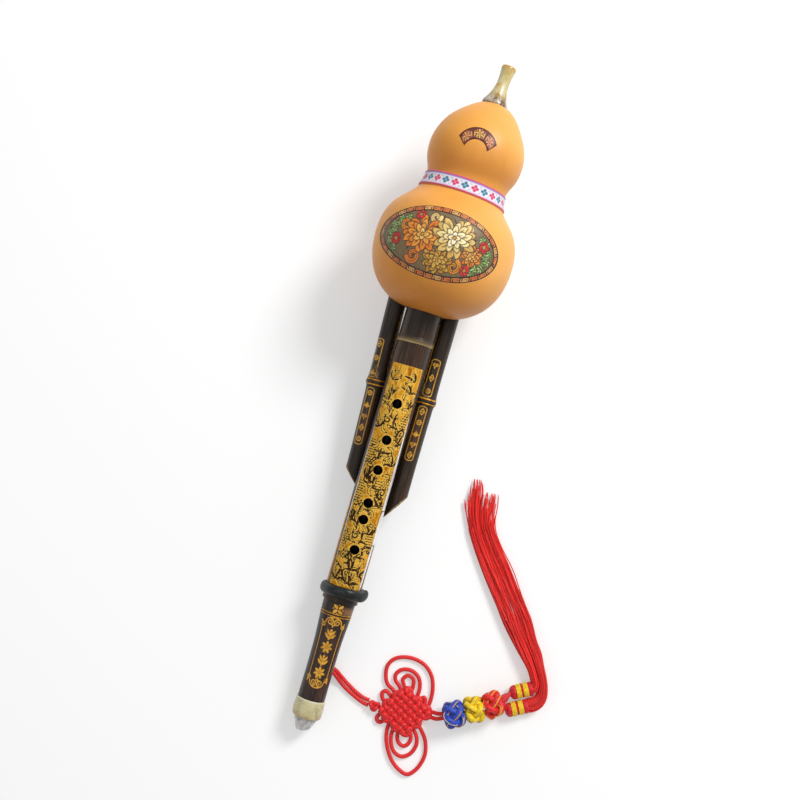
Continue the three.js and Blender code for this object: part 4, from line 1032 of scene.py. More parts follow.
TASSELS = {
    "upper_tassel": dict(at=(122.9, 57.1), seed=5, skirt=(
        (135.2, 63.6, 3.9, 4.1), (136.1, 66.2, 2.6, 4.2), (134.4, 69.8, 2.2, 4.2), (130.6, 75.9, 2.2, 4.2),
        (125.2, 82.6, 2.7, 4.1), (119.6, 88.9, 3, 3.9), (109.1, 101.8, 3.9, 3.4), (98.7, 114.9, 4, 3.2),
        (88.7, 128.2, 4, 3.1), (78.8, 141.5, 3.5, 2.9), (70.5, 155, 3.4, 2.7), (66.6, 165.5, 3.5, 2.3),
        (65, 175, 3, 1.8), (63.5, 183, 1.8, 1.4))),
    "lower_tassel": dict(at=(122.8, 45.6), seed=11, skirt=(
        (135.1, 52.1, 3.9, 4.1), (139.6, 54.9, 3.6, 4.2), (142, 59.2, 3, 4.2), (141.9, 64.2, 2.5, 4.2),
        (139.7, 71, 2.2, 4.2), (136.1, 77.6, 2.3, 4.2), (131.9, 84.5, 2.8, 4.1), (126.8, 91.1, 3, 3.9),
        (117.9, 104.4, 4, 3.4), (107.6, 117.4, 4, 3.2), (97.6, 130.7, 3.9, 3.1), (86.6, 143.7, 3.5, 2.9),
        (77.9, 157.5, 3.4, 2.7), (75.6, 168, 3.2, 2.3), (74.8, 177, 2.4, 1.6))),
}


def on_floor(points):
    """Floor points given a height: the cord lies on the floor."""
    points = np.asarray(points, float)
    return np.concatenate([points, np.full((len(points), 1), CORD_RADIUS + FLOOR_GAP)], 1)


def standing_frame(at, height, turn):
    """A frame in the cord's frame whose Y axis runs along the floor, turned from the cord's X axis."""
    return CORD @ Matrix.Translation((*at, height)) @ Matrix.Rotation(turn - math.pi / 2, 4, "Z")


def lay_rope(name, route, radius):
    """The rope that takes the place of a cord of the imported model, and its path in metres."""
    path = spline(route, ROUTE_SPACING)
    shape = Shape(CORD)
    add_tube(shape, path, radius, 14)
    return make_piece(f"{name}_rope", shape, "tail", "red_cord", (name,)), to_metres(path, CORD)


class HULUSI_OT_strands(bpy.types.Operator):
    """Two strands of cord from the hole in the tail joint to the first knot"""
    bl_idname = "hulusi.strands"
    bl_label = "Cord strands"

    def execute(self, context):
        radius = context.scene.hulusi_sizes.cord / 2 / MM
        for number, route in enumerate(STRAND_ROUTES, 1):
            piece, metres = lay_rope(f"cord_strand_{number}", route, radius)
        return {"FINISHED"}


class HULUSI_OT_ears(bpy.types.Operator):
    """The six loops of cord that lie beside the knot, each going back into it"""
    bl_idname = "hulusi.ears"
    bl_label = "Ear loops"

    def execute(self, context):
        radius = context.scene.hulusi_sizes.cord / 2 / MM
        for name, route in EAR_LOOPS.items():
            piece, metres = lay_rope(name, on_floor(route), radius)
        return {"FINISHED"}


def weave_family(count, spacing, reach, sign):
    """One family of a plain weave in its own axes (p along, q across, h up): a strand that runs to and
    fro, turned round in half circles, and that rises and falls as sign · cos(pi (p + k)) so that it goes
    over every second strand of the other family."""
    pieces = []
    middle, half = (count - 1) / 2, 0.5 * spacing
    along = np.linspace(-reach, reach, 61)
    bend = np.linspace(-math.pi / 2, math.pi / 2, 9)[1:-1]
    for k in range(count):
        way = 1 if k % 2 == 0 else -1
        height = sign * np.cos(math.pi * (along / spacing + middle + k))
        height *= np.clip((reach + 0.2 * spacing - np.abs(along)) / half, 0, 1)
        pieces.append(np.stack([along, np.full_like(along, (k - middle) * spacing), height], 1)[::way])
        if k < count - 1:
            pieces.append(np.stack([way * (reach + half * np.cos(bend)),
                                    (k + 0.5 - middle) * spacing + half * np.sin(bend), 0 * bend], 1))
    return np.concatenate(pieces)


class HULUSI_OT_knot(bpy.types.Operator):
    """The woven diamond knot with its small side loops, its entry knot and its link to the buttons"""
    bl_idname = "hulusi.knot"
    bl_label = "Woven knot"

    def execute(self, context):
        shape = Shape(CORD)
        corner = math.atan2(PAD_HALF_WIDTH, PAD_HALF_LENGTH)
        strands, spacing, reach, rise, rope = 6, 4.15, 10.3, 1.6, 1.92
        middle = np.array([*PAD_MIDDLE, 3.5])
        for sign in (1, -1):
            path = weave_family(strands, spacing, reach, sign)
            lie = middle + path[:, :1] * [*compass(PAD_TURN + sign * corner), 0]
            lie = lie + path[:, 1:2] * [*compass(PAD_TURN - sign * corner), 0] + path[:, 2:] * [0, 0, rise]
            add_tube(shape, evenly(lie, 0.5), rope, 14, flat=0.88)
        for route in SIDE_LOOPS:
            add_tube(shape, spline(on_floor(route), 0.8), 1.35, 12)
        piece = make_piece("woven_knot", shape, "tail", "red_cord",
                           ("knot_body", "side_loop_1", "side_loop_2", "side_loop_3"))

        entry = Shape(CORD)
        angle = np.linspace(0, TAU, 120, endpoint=False)
        loop = np.stack([np.sin(angle) + 2 * np.sin(2 * angle), np.cos(angle) - 2 * np.cos(2 * angle),
                         -np.sin(3 * angle)], 1)
        loop = loop * [1.02, 0.86, 1.25] + [*ENTRY_KNOT, 2.9]
        add_tube(entry, loop, 1.3, 12, closed=True)
        make_piece("entry_knot_rope", entry, "tail", "red_cord", ("entry_knot",))

        link = Shape(CORD)
        for side in (-1, 1):
            path = spline(np.array(PAD_LINK) + [0, side * 1.25, 0], 0.7)
            sway = 0.5 * np.sin(np.linspace(0, math.pi, len(path)))[:, None] * [0, side, 0.4]
            add_tube(link, path + sway, 1.32, 12)
        make_piece("knot_link_ropes", link, "tail", "red_cord", ("knot_link",))
        return {"FINISHED"}


def turks_head(half_length, ring, swell, phase):
    """The centre line of a ring knot of three leads and five bights round the Y axis. While the angle a
    goes round three times, the place along the axis is H cos(5a/3) and the distance from the axis is
    R + e sin(10a/3), which takes the strand over and under itself in turn; both ends draw in."""
    angle = np.linspace(0, 3 * TAU, KNOT_STEPS, endpoint=False)
    along = half_length * np.cos(5 * angle / 3)
    away = ring + swell * np.sin(10 * angle / 3) - 1.7 * (along / half_length) ** 4
    turn = angle + phase
    return np.stack([away * np.sin(turn), along, away * np.cos(turn)], 1)


class HULUSI_OT_buttons(bpy.types.Operator):
    """Three button knots of blue, yellow and red cord, with thin metal threads laid along them"""
    bl_idname = "hulusi.buttons"
    bl_label = "Button knots"

    def execute(self, context):
        for name, button in BUTTONS.items():
            matrix = standing_frame(button["at"], BUTTON_RADIUS + FLOOR_GAP, BUTTON_TURN)
            ring = BUTTON_RADIUS - BUTTON_ROPE - BUTTON_SWELL
            half = button["length"] / 2 - BUTTON_ROPE + 0.35
            path = turks_head(half, ring, BUTTON_SWELL, button["phase"])
            outward = unit(path * [1, 0, 1])
            shape = Shape(matrix)
            add_tube(shape, path, BUTTON_ROPE, 14, up=outward, closed=True, flat=0.94)
            shape.surface(turned_points(np.array([
                (0.01, -half), (ring - 1.6, -half + 1.5), (ring - 0.6, 0), (ring - 1.6, half - 1.5),
                (0.01, half)]), 24))
            make_piece(f"{name}_knot", shape, "tail", button["cord"], (name,))

            side, top = directions(path, outward, closed=True)
            threads = Shape(matrix)
            walk = np.linspace(0, TAU, len(path), endpoint=False)
            for number, colour in enumerate(button["threads"]):
                lean = 0.75 * np.sin(3 * walk + 2.2 * number + button["phase"]) + (0.35 if number else -0.35)
                lean = lean[:, None]
                line = path + (BUTTON_ROPE - 0.02) * (np.sin(lean) * side + 0.94 * np.cos(lean) * top)
                pieces = 4 if number else 5
                long = len(path) // pieces
                for k in range(pieces):
                    start = k * long + 9 * k * (number + 1) % 17
                    run = line[start:start + int(long * (0.5 - 0.06 * (k % 3)))]
                    if len(run) > 8:
                        near = np.arange(len(run))
                        taper = np.clip(np.minimum(near, near[::-1]) / 4, 0.15, 1)
                        add_tube(threads, run, 0.34 * taper, 8, up=(0.31, 0.53, 0.79),
                                 paint=np.broadcast_to(linear(*colour), (len(run), 8, 3)))
            make_piece(f"{name}_threads", threads, "tail", "metal_thread")
        return {"FINISHED"}


class HULUSI_OT_heads(bpy.types.Operator):
    """The two tassel heads with their crimson links and wound yellow bands"""
    bl_idname = "hulusi.heads"
    bl_label = "Tassel heads"

    def execute(self, context):
        links = Shape(CORD)
        for name, tassel in TASSELS.items():
            at = np.array(tassel["at"])
            height = HEAD_RADIUS + 0.4 + FLOOR_GAP
            matrix = standing_frame(at, height, HEAD_TURN)
            profile = spline(HEAD_SIDE, 0.35)
            points = turned_points(profile, SLIM_SIDES)
            plies = 0.05 * np.cos(9 * (whole_turn(SLIM_SIDES) + 0.05 * profile[:, 1:2]))
            points[..., [0, 2]] *= 1 + (plies * np.clip(profile[:, :1] / 2, 0, 1))[..., None]
            head = Shape(matrix)
            head.surface(points, along=np.linspace(0, 18, len(profile)),
                         around=np.linspace(0, 3, SLIM_SIDES + 1))
            make_piece(f"{name}_knob", head, "tail", "crimson_cord", (f"{name}_head",))

            for number, place in enumerate(BAND_PLACES, 1):
                low, high = place - 0.25, place + BAND_LENGTH + 0.25
                along = np.linspace(low, high, BAND_TURNS * 8 + 1)
                wave = np.abs(np.sin(math.pi * BAND_TURNS * (along - low) / (high - low)))
                outline = np.concatenate([np.stack([HEAD_RADIUS + 0.02 + 0.42 * wave ** 0.7, along], 1),
                                          [(3.8, high), (3.8, low)]])
                band = turned(matrix, outline, SLIM_SIDES)
                make_piece(f"{name}_winding_{number}", band, "tail", "yellow_thread",
                           (f"{name}_band_{number}",))

            end = np.array([*(at + 0.4 * compass(HEAD_TURN)), height])
            away = 1 if name == "upper_tassel" else -1
            for side, up in ((-1.25, 0.5), (0, 1.5), (1.25, -0.4)):
                start = np.array(LINK_ROOT) + [0.5 * side, -0.9 * side, up]
                waist = np.array(LINK_WAIST) + [0.6 * side, 1.9 * away - 1.1 * side, 0.8 * up]
                last = end + [-0.5 * side, 0.9 * side, 0.7 * up]
                between = (waist + last) / 2 + [0, 0.4 * away, -0.2]
                add_tube(links, spline([start, waist, between, last], 0.6), LINK_ROPE, 12)
        make_piece("tassel_link_ropes", links, "tail", "crimson_cord", ("tassel_link",))
        return {"FINISHED"}


class HULUSI_OT_skirts(bpy.types.Operator):
    """The tassels' skirts of many separate threads with uneven, frayed ends"""
    bl_idname = "hulusi.skirts"
    bl_label = "Tassel skirts"

    def execute(self, context):
        sizes = context.scene.hulusi_sizes
        thread, count = sizes.thread / 2 / MM, sizes.threads
        for name, tassel in TASSELS.items():
            chance = np.random.default_rng(tassel["seed"])
            start = np.array(tassel["at"]) + (HEAD_LENGTH - 2.5) * compass(HEAD_TURN)
            stations = np.array([(*start, 3.7, 3.9), *tassel["skirt"]]) * [1, 1, 1.5, 1]
            table = spline(stations, 2.1)
            rings = len(table)
            flat = np.concatenate([table[:, :2], np.zeros((rings, 1))], 1)
            side, _ = directions(flat, (0, 0, 1))
            t = np.linspace(0, 1, rings)
            shape = Shape(CORD)
            other = chance.permutation(count)
            across = eased(t, 0.08, 0.8)
            gather = 1 - 0.3 * np.exp(-t / 0.05)
            fray = np.clip((t - 0.8) / 0.2, 0, 1) ** 1.5
            width, tall = np.maximum(table[:, 2] - thread, 0.4), np.maximum(table[:, 3] - thread, 0.4)
            for k in range(count):
                away = math.sqrt((k + 0.5) / count)
                turn = k * GOLDEN_ANGLE + tassel["seed"]
                later = turn + 0.9 * math.sin(7 * other[k]) + (math.pi if other[k] % 3 == 0 else 0)
                drift = chance.uniform(-0.5, 0.5, 4)
                out = 0.92 * away * ((1 - across) * math.cos(turn) + across * math.cos(later))
                out = out + 0.4 * drift[0] * np.sin(TAU * (1.1 + drift[1]) * t + 9 * drift[2])
                lift = (1 - across) * math.sin(turn) + across * math.sin(later) ** 2 * drift[1] * 2
                up = 0.93 * away * lift + 0.3 * drift[3] * np.sin(TAU * (1.1 + drift[0]) * t + 7 * drift[1])
                out = np.clip(out, -0.97, 0.97) * gather * (1 + 0.5 * fray * (0.4 + away))
                out = out + drift[2] * fray * 1.8
                up = np.clip(up * (1 + 0.1 * fray), -0.96, 1.02)
                path = flat + (out * width)[:, None] * side
                path[:, 2] = FLOOR_GAP + thread + tall * (1 + up)
                shorter = 8 * max(0, -away * math.cos(later)) if name == "upper_tassel" else 0
                stop = rings - int(12 * chance.random() ** 1.4 + shorter)
                stop -= 5 if chance.random() < 0.2 else 0
                taper = np.clip((stop - 1 - np.arange(stop)) / 2 + 0.45, 0, 1)
                add_tube(shape, path[:stop], thread * taper, 6, tint=np.full((stop, 6), chance.random()))
            make_piece(f"{name}_threads", shape, "tail", "tassel_thread", (f"{name}_skirt",),
                       60 * DEGREE)
        return {"FINISHED"}


# The gourd's outline and the surfaces that follow it

def bezier(points, steps):
    """A cubic between the first and last of four points."""
    t = np.linspace(0, 1, steps + 1)[:, None]
    a, b, c, d = (np.array(p, float) for p in points)
    return a * (1 - t) ** 3 + 3 * b * t * (1 - t) ** 2 + 3 * c * t ** 2 * (1 - t) + d * t ** 3


def gourd_outline():
    """Radius against station, from the bottom round the belly, the neck and the bulb to the stem."""
    pieces = (
        (((0, 273), (26, 273), (44.9, 286), (44.9, 316)), 30),
        (((44.9, 316), (44.9, 344), (25.9, 342), (25.9, 358.5)), 26),
        (((25.9, 358.5), (25.9, 366.5), (30.6, 367), (30.6, 380)), 18),
        (((30.6, 380), (30.6, 396), (16, 410), (9, 413)), 26),
    )
    curves = [bezier(points, steps) for points, steps in pieces]
    return np.concatenate([curves[0], *(curve[1:] for curve in curves[1:])])


GOURD = gourd_outline()
MOUTH_CIRCLES, MOUTH_STATIONS = ((0, 0, 14.3), (-18.4, -7.5, 8.9), (16.9, -9.8, 8.9)), (260.0, 302.0)
STEM_BORE, GOURD_SIDES = 7.9, 144
# The seats and windows of the reeds, each as two opposite corners of a block
PIPE_CUTS = (((-PIPE_RADIUS - 1, 298.7, 9.68), (PIPE_RADIUS + 1, 319.3, 15)),
             ((-2.3, 303, 0), (2.3, 315, 15)))
DRONE_CUTS = (((-7, 26.7, 4.59), (7, 40.3, 9)), ((-1.2, 29.5, 0), (1.2, 37.5, 9)))


def eased(value, low, high):
    """0 at `low` and below, 1 at `high` and above, and the cubic 3t² - 2t³ between."""
    t = np.clip((np.asarray(value, float) - low) / (high - low), 0, 1)
    return t * t * (3 - 2 * t)


def sway(station):
    """How far the gourd's middle stands to the right: one S-curve through the neck, and a smaller
    one below the stem."""
    return 0.95 + 2.75 * eased(station, 339.3, 370.4) + 2.2 * eased(station, 397, 413)


def gourd_radius(station, angle=0.0):
    """The gourd's radius at a station, a little out of round as grown fruit is."""
    plain = np.interp(station, GOURD[:, 1], GOURD[:, 0])
    uneven = 0.28 * np.sin(2 * angle + station / 31) + 0.16 * np.sin(3 * angle - station / 19)
    return plain + uneven * np.clip(plain / 20 - 0.6, 0, 1)


def on_gourd(angle, station, lift=0.0):
    """A place on the gourd, or `lift` millimetres outside it."""
    slope = (gourd_radius(station + 0.5) - gourd_radius(station - 0.5))
    steep = np.sqrt(1 + slope ** 2)
    radius = gourd_radius(station, angle) + lift / steep
    height = station - lift * slope / steep
    return np.stack([radius * np.sin(angle) + sway(station), height, radius * np.cos(angle)], -1)


def prism(matrix, outline, axis, low, high):
    """A flat outline carried along the axis of that number, as a cutting tool."""
    shape = Shape(matrix)
    outline = np.asarray(outline, float)
    shape.surface(np.stack([np.insert(outline, axis, place, axis=1) for place in (low, high)]))
    return shape


def box_shape(matrix, low, high):
    """A plain block between two corners, as a cutting tool."""
    outline = [(low[0], low[2]), (high[0], low[2]), (high[0], high[2]), (low[0], high[2])]
    return prism(matrix, outline, 1, low[1], high[1])


def wrap_outline(circles, grow, sides=28):
    """The outline round several circles of (x, z, radius), as the hull of points on them."""
    points = sorted({(round(x + (r + grow) * math.cos(a), 4), round(z + (r + grow) * math.sin(a), 4))
                     for x, z, r in circles for a in whole_turn(sides)})

    def half(chain_of):
        chain = []
        for p in chain_of:
            while len(chain) > 1 and ((chain[-1][0] - chain[-2][0]) * (p[1] - chain[-2][1])
                                      - (chain[-1][1] - chain[-2][1]) * (p[0] - chain[-2][0])) <= 1e-6:
                chain.pop()
            chain.append(p)
        return chain[:-1]

    return np.array(half(points) + half(points[::-1]))


class HULUSI_OT_gourd(bpy.types.Operator):
    """The hollow gourd, open at the bottom round the pipes and at the slanted stem"""
    bl_idname = "hulusi.gourd"
    bl_label = "Gourd"

    def execute(self, context):
        angle = whole_turn(GOURD_SIDES)
        outer = GOURD[1:, 1:]
        skin = Shape(INSTRUMENT)
        skin.surface(on_gourd(angle, outer + 0 * angle), along=outer[:, 0])
        piece = make_piece("gourd_rind", skin, "chest", "gourd_skin", ("gourd",))

        hollow = Shape(INSTRUMENT)
        inside = GOURD[(GOURD[:, 1] > GOURD_LOW + 6) & (GOURD[:, 1] < GOURD_HIGH - 9)][::2, 1:]
        hollow.surface(on_gourd(angle[::2], inside + 0 * angle[::2], -GOURD_WALL))
        mouth = prism(INSTRUMENT, wrap_outline(MOUTH_CIRCLES, 0.3), 1, *MOUTH_STATIONS)
        rim = box_shape(STEM, (-30, 0, -30), (30, 30, 30))
        bored(piece, [hollow, mouth, rim, drill(STEM, STEM_BORE, (0, 5, 0), (0, -24, 0), 40)])
        return {"FINISHED"}


PLATE_LIFT, PLATE_DEPTH = 0.06, 0.4
RING_DEPTH = 0.6


def wrapped(u, v, middle, radius, reach=None):
    """A flat pattern laid round the Y axis, twice: just outside a radius, and inside it as the back
    of a thin plate. The angle is the middle plus the place across (u) over `reach`."""
    u, v, radius = np.broadcast_arrays(u, v, radius)
    angle = middle + u / (radius if reach is None else reach)
    return [np.stack([(radius + lift) * np.sin(angle), v, (radius + lift) * np.cos(angle)], -1)
            for lift in (PLATE_LIFT, -PLATE_DEPTH)]


def half_ring(local, centre, wide, tall):
    """The outline of a half-round ring that stands `tall` out of a tube and is sunk into it."""
    t = np.linspace(0, math.pi, 9)
    outline = np.stack([local + tall * np.sin(t), centre - wide * np.cos(t)], 1)
    foot = local - RING_DEPTH
    return np.concatenate([outline, [(foot, centre + wide), (foot, centre - wide)]])


HOLE_RIM = HOLE_RADIUS + 0.06
PANEL_HALF = 56.6 * DEGREE * PIPE_RADIUS
PANEL_LOW, PANEL_HIGH, PANEL_SEED = 94.3, 239.2, 31
FINE_CUTS, BRUSH_MARKS = 430, 90

# Patches of bars and scales on the panel: place across and along, half width and half length.
PATCHES = (
    (-8.4, 154, 3.4, 9), (8.4, 163, 3.2, 8), (-8.4, 181, 3.4, 9), (8.0, 129, 3.6, 8), (-8.6, 125, 3.0, 7),
    (8.4, 203, 3.0, 6), (2.5, 161, 3.4, 4.6), (-2.6, 181, 3.2, 4.4))
# Bunches of curled strokes: place across and along, middle heading and count.
FLAMES = (
    (7.4, 230, 2.4, 4), (-7.6, 228, 1.3, 5), (7.2, 103, 1.3, 6), (-6.8, 98, 1.8, 6), (-8.2, 138, 2.0, 5),
    (8.0, 175, 1.6, 5), (-7.4, 165, 1.0, 5), (8.2, 148, 2.2, 4), (7.8, 190, 1.2, 5), (-8.2, 197, 1.9, 5),
    (1.5, 97, 1.6, 6), (0.5, 106, 1.2, 5), (4.6, 130, 1.0, 4), (-8.0, 112, 1.2, 5), (6.4, 222, 1.7, 5),
    (-6.0, 216, 2.4, 4), (8.2, 213, 1.5, 4))
# Strips beside the panel: stations from one end to the other, and the degrees of the two edges there.
EDGE_STRIPS = {
    "flank_strips": ("plain_gold", (
        ((94.3, 136, 152), (-90, -90, -82), (-68, -68, -76)),
        ((94.3, 112, 123.4), (76, 77, 79), (86, 86, 82)))),
    # Painted highlights: bright strips of whitish metal beside the panel's edges.
    "worn_edges": ("worn_silver", (
        ((94.3, 110, 123.4), (57.6, 57.6, 57.6), (65, 68, 71)),
        ((124, 126, 142, 146), (58, 57.6, 57.6, 61), (76, 86, 88, 86)),
        ((146.6, 168, 182, 208), (57.6, 57.6, 57.6, 57.6), (79, 76, 67, 58.6)),
        ((110, 150, 200), (-58.8, -60.5, -58.6), (-57.6, -57.6, -57.6)))),
}


def clear(at, gap):
    """Whether a place on the panel is farther than a gap from every finger hole."""
    return min(math.hypot(at[0], at[1] - hole) for hole in HOLES) > gap


def bricks(canvas, middle, wide, tall, scales):
    """A patch of short bars, or of round scales, in staggered rows inside an ellipse."""
    step, row_step = 1.9, 1.6
    for row in range(int(-tall / row_step), int(tall / row_step) + 1):
        for column in range(-4, 5):
            at = np.array([middle[0] + column * step + step / 2 * (row % 2), middle[1] + row * row_step])
            inside = ((at[0] - middle[0]) / wide) ** 2 + ((at[1] - middle[1]) / tall) ** 2
            if inside > 1 or abs(at[0]) > PANEL_HALF - 0.7 or not clear(at, 4.1):
                continue
            if scales:
                canvas.stroke(at + 0.76 * compass(np.linspace(-0.3, math.pi + 0.3, 6)), 0.26)
            else:
                canvas.stroke([at - [0.5, 0.1], at + [0.5, 0.1]], (0.48, 0.36))


def engrave_panel(canvas):
    """The gold panel's engraving: a vine that winds between the finger holes with leaves and scrolls,
    flames of curled strokes, patches of bars and scales along the edges, and fine cuts. The top is
    left nearly plain, with brush marks along the pipe."""
    chance = np.random.default_rng(PANEL_SEED)
    turns = [(5.5, 95), (-5.4, 106)]
    for k, station in enumerate(HOLES):
        turns.append(((6.8, -6.8)[k % 2], station + 1.5))
        if k + 1 < len(HOLES) and HOLES[k + 1] - station > 15:
            turns.append((0.8 * (1, -1)[k % 2], (station + HOLES[k + 1]) / 2))
    vine = spline(turns + [(-3.6, 222.5)], 1.0)
    canvas.stroke(vine, 0.92 + 0.28 * np.sin(np.arange(len(vine)) / 4))
    canvas.stroke(vine, 0.3, ink=0)

    for number, (across, along, wide, tall) in enumerate(PATCHES):
        bricks(canvas, (across, along), wide, tall, number % 3 == 1)

    heading = np.gradient(vine, axis=0)
    for k in range(3, len(vine) - 3, 4):
        side = 1 if (k // 4) % 2 else -1
        along = math.atan2(heading[k, 1], heading[k, 0])
        across = np.array([-math.sin(along), math.cos(along)]) * side
        spot = vine[k] + across * 2.9
        if (k // 4) % 3 < 2:
            long, out = 5.6 + chance.uniform(-0.8, 1.4), along + side * 0.95
            canvas.leaf(vine[k], out, long, 1.5, -side * 0.3)
            canvas.leaf(vine[k] + 0.5 * across, out, 0.8 * long, 0.85, -side * 0.3, ink=0)
            canvas.leaf(vine[k], out, 0.8 * long, 0.2, -side * 0.3, ink=0.8)
            canvas.curl(vine[k], along + side * 0.3, 5.4, 0.6, side * 2.2)
        elif clear(spot, 5.8):
            canvas.disc(spot, 2.9, ink=0)
            canvas.scroll(spot, 2.9, 1.3, along - side * math.pi / 2, side, 0.74)

    for number, station in enumerate(HOLES):
        canvas.disc((0, station), 3.38, ink=0.9, ring=0.13)
        for k in range(4):
            angle = TAU * (k + chance.uniform(-0.2, 0.2)) / 4 + 0.8 * number
            canvas.curl(compass(angle) * 4.5 + [0, station], angle + 1.3, 8.0 + chance.uniform(-1, 1.6), 1.1,
                        -2.6, 0.42)

    for across, along, turn, count in FLAMES:
        for k in range(count):
            angle = turn + 0.5 * (k - (count - 1) / 2) + chance.uniform(-0.15, 0.15)
            if clear((across, along), 5.4):
                canvas.curl((across, along), angle, 6.8 + chance.uniform(-1.4, 2.2), 0.86,
                            chance.uniform(-1.8, 1.8), 0.3 * (k % 2))
    for _ in range(FINE_CUTS):
        at = np.array([chance.uniform(-PANEL_HALF, PANEL_HALF), 94 + 128 * chance.uniform(0, 1) ** 1.2])
        if clear(at, 4.6):
            canvas.leaf(at, math.pi / 2 + chance.normal(0, 0.5), chance.uniform(1.2, 3.6),
                        chance.uniform(0.2, 0.44), chance.uniform(-0.3, 0.3), ink=chance.uniform(0.6, 1))
    for _ in range(BRUSH_MARKS):
        at = np.array([chance.uniform(-PANEL_HALF, PANEL_HALF), chance.uniform(208, 240)])
        canvas.leaf(at, math.pi / 2 + chance.normal(0, 0.06), chance.uniform(3.0, 8.0), 0.17,
                    ink=chance.uniform(0.4, 0.62))
    # A thin ink round all the engraving, which the gold's finish shows as a painted highlight.
    canvas.halo(0.36)


class HULUSI_OT_melody_pipe(bpy.types.Operator):
    """The melody pipe with its finger holes, thumb hole, reed seat and worn joint ring, whose bright lower
    lip is a painted highlight
    """
    bl_idname = "hulusi.melody_pipe"
    bl_label = "Melody pipe"

    def execute(self, context):
        outline = rounded([(PIPE_BORE, PIPE_LOW), (PIPE_RADIUS, PIPE_LOW), (PIPE_RADIUS, PIPE_HIGH),
                           (PIPE_BORE, PIPE_HIGH)], 0.5)
        pipe = turned(INSTRUMENT, subdivided(outline, 3.0), WIDE_SIDES)
        piece = make_piece("melody_pipe", pipe, "chest", "smoked_bamboo", ("main_pipe",))
        tools = [drill(INSTRUMENT, HOLE_RADIUS, (0, station, 0), (0, station, far), 36)
                 for station, far in (*((hole, 20) for hole in HOLES), (THUMB_HOLE, -20))]
        bored(piece, tools + [box_shape(INSTRUMENT, *corners) for corners in PIPE_CUTS])

        ring = Shape(INSTRUMENT)
        y = np.linspace(-2.0, 2.0, 17)
        hump = 0.5 * np.clip(np.cos(math.pi * y / 4.2), 0, 1) ** 0.7 - 0.3 * np.exp(-((y - 0.9) / 0.3) ** 2)
        outer = np.stack([PIPE_RADIUS + 0.03 + hump, PIPE_NODE + y], 1)
        inner = np.stack([np.full(17, PIPE_RADIUS - RING_DEPTH), PIPE_NODE + y], 1)[::-1]
        points = turned_points(np.concatenate([outer, inner]), WIDE_SIDES)
        turn = whole_turn(WIDE_SIDES)
        points[..., 1] += 0.35 * np.sin(turn + 0.8) + 0.12 * np.sin(4 * turn)
        ring.surface(points, closed=True)
        make_piece("pipe_joint_ring", ring, "chest", "joint_bamboo")
        return {"FINISHED"}


class HULUSI_OT_gold_panel(bpy.types.Operator):
    """The engraved gold panel, the painted highlight strips of whitish metal beside it and the gold strips on
    the flanks
    """
    bl_idname = "hulusi.gold_panel"
    bl_label = "Gold panel"

    def execute(self, context):
        canvas = Canvas((-PANEL_HALF, PANEL_HALF), (PANEL_LOW, PANEL_HIGH), 0.3)
        engrave_panel(canvas)
        grids = wrapped(canvas.u, canvas.v[:, None], 0, PIPE_RADIUS)
        keep = np.ones((len(canvas.v) - 1, len(canvas.u) - 1), bool)
        for station in HOLES:
            away = grids[0][..., :2] - [0, station]
            distance = np.linalg.norm(away, axis=-1)
            inside = distance < HOLE_RIM
            keep &= ~(inside[:-1, :-1] & inside[1:, :-1] & inside[:-1, 1:] & inside[1:, 1:])
            moved = [0, station] + HOLE_RIM * away / np.maximum(distance, 1e-6)[..., None]
            for grid in grids:
                depth = np.hypot(grid[..., 0], grid[..., 2])
                grid[inside, :2] = moved[inside]
                grid[inside, 2] = np.sqrt(depth[inside] ** 2 - moved[inside][:, 0] ** 2)
        shape = Shape(INSTRUMENT)
        shape.plate(*grids, keep, along=canvas.v, around=canvas.u, ink=canvas.ink)
        make_piece("gold_panel", shape, "chest", "engraved_gold")

        for name, (look, runs) in EDGE_STRIPS.items():
            strips = Shape(INSTRUMENT)
            for stations, firsts, lasts in runs:
                v = np.linspace(stations[0], stations[-1], round((stations[-1] - stations[0]) / 0.7))[:, None]
                first, last = np.interp(v, stations, firsts), np.interp(v, stations, lasts)
                across = first + (last - first) * (np.linspace(0, 1, 7) + 0.02 * np.sin(v) * np.sin(v / 2.3))
                strips.plate(*wrapped(across * DEGREE * PIPE_RADIUS, v, 0, PIPE_RADIUS))
            make_piece(name, strips, "chest", look)
        return {"FINISHED"}


# Each drone's gold frames: the degrees of the middle, the half width, and the two ends.
DRONES = {
    "left_drone": dict(matrix=LEFT_DRONE, side=-1, length=120.0, cut=13.0, node=-49.4, strips=(
        (-42, 2.5, -46.5, -21.0), (-26, 2.6, -90.5, -53.0))),
    "right_drone": dict(matrix=RIGHT_DRONE, side=1, length=132.5, cut=17.5, node=-52.2, strips=(
        (-4, 2.8, -49.0, -24.5), (-2, 2.7, -91.5, -55.5))),
}


def joint_swell(away):
    """The bell by which a drone is wider at a distance from its joint."""
    return 0.95 * np.exp(-(away / 2.1) ** 2)


def drone_radius(drone, y):
    """A drone's radius: it swells by 0.4 at the open end, and in a bell at its joint."""
    return (DRONE_RADIUS + 0.4 * np.clip(1 - (y + drone["length"]) / (2 * drone["cut"]), 0, 1)
            + joint_swell(y - drone["node"]) + 0.3 * np.exp(-np.abs(y - drone["node"] - 3) / 5))


def cut_height(drone, x):
    """Where the slanted cut of a drone's open end stands: it climbs evenly towards the outside."""
    return -drone["length"] + drone["cut"] * (0.5 + 0.5 * drone["side"] * x / DRONE_RADIUS)


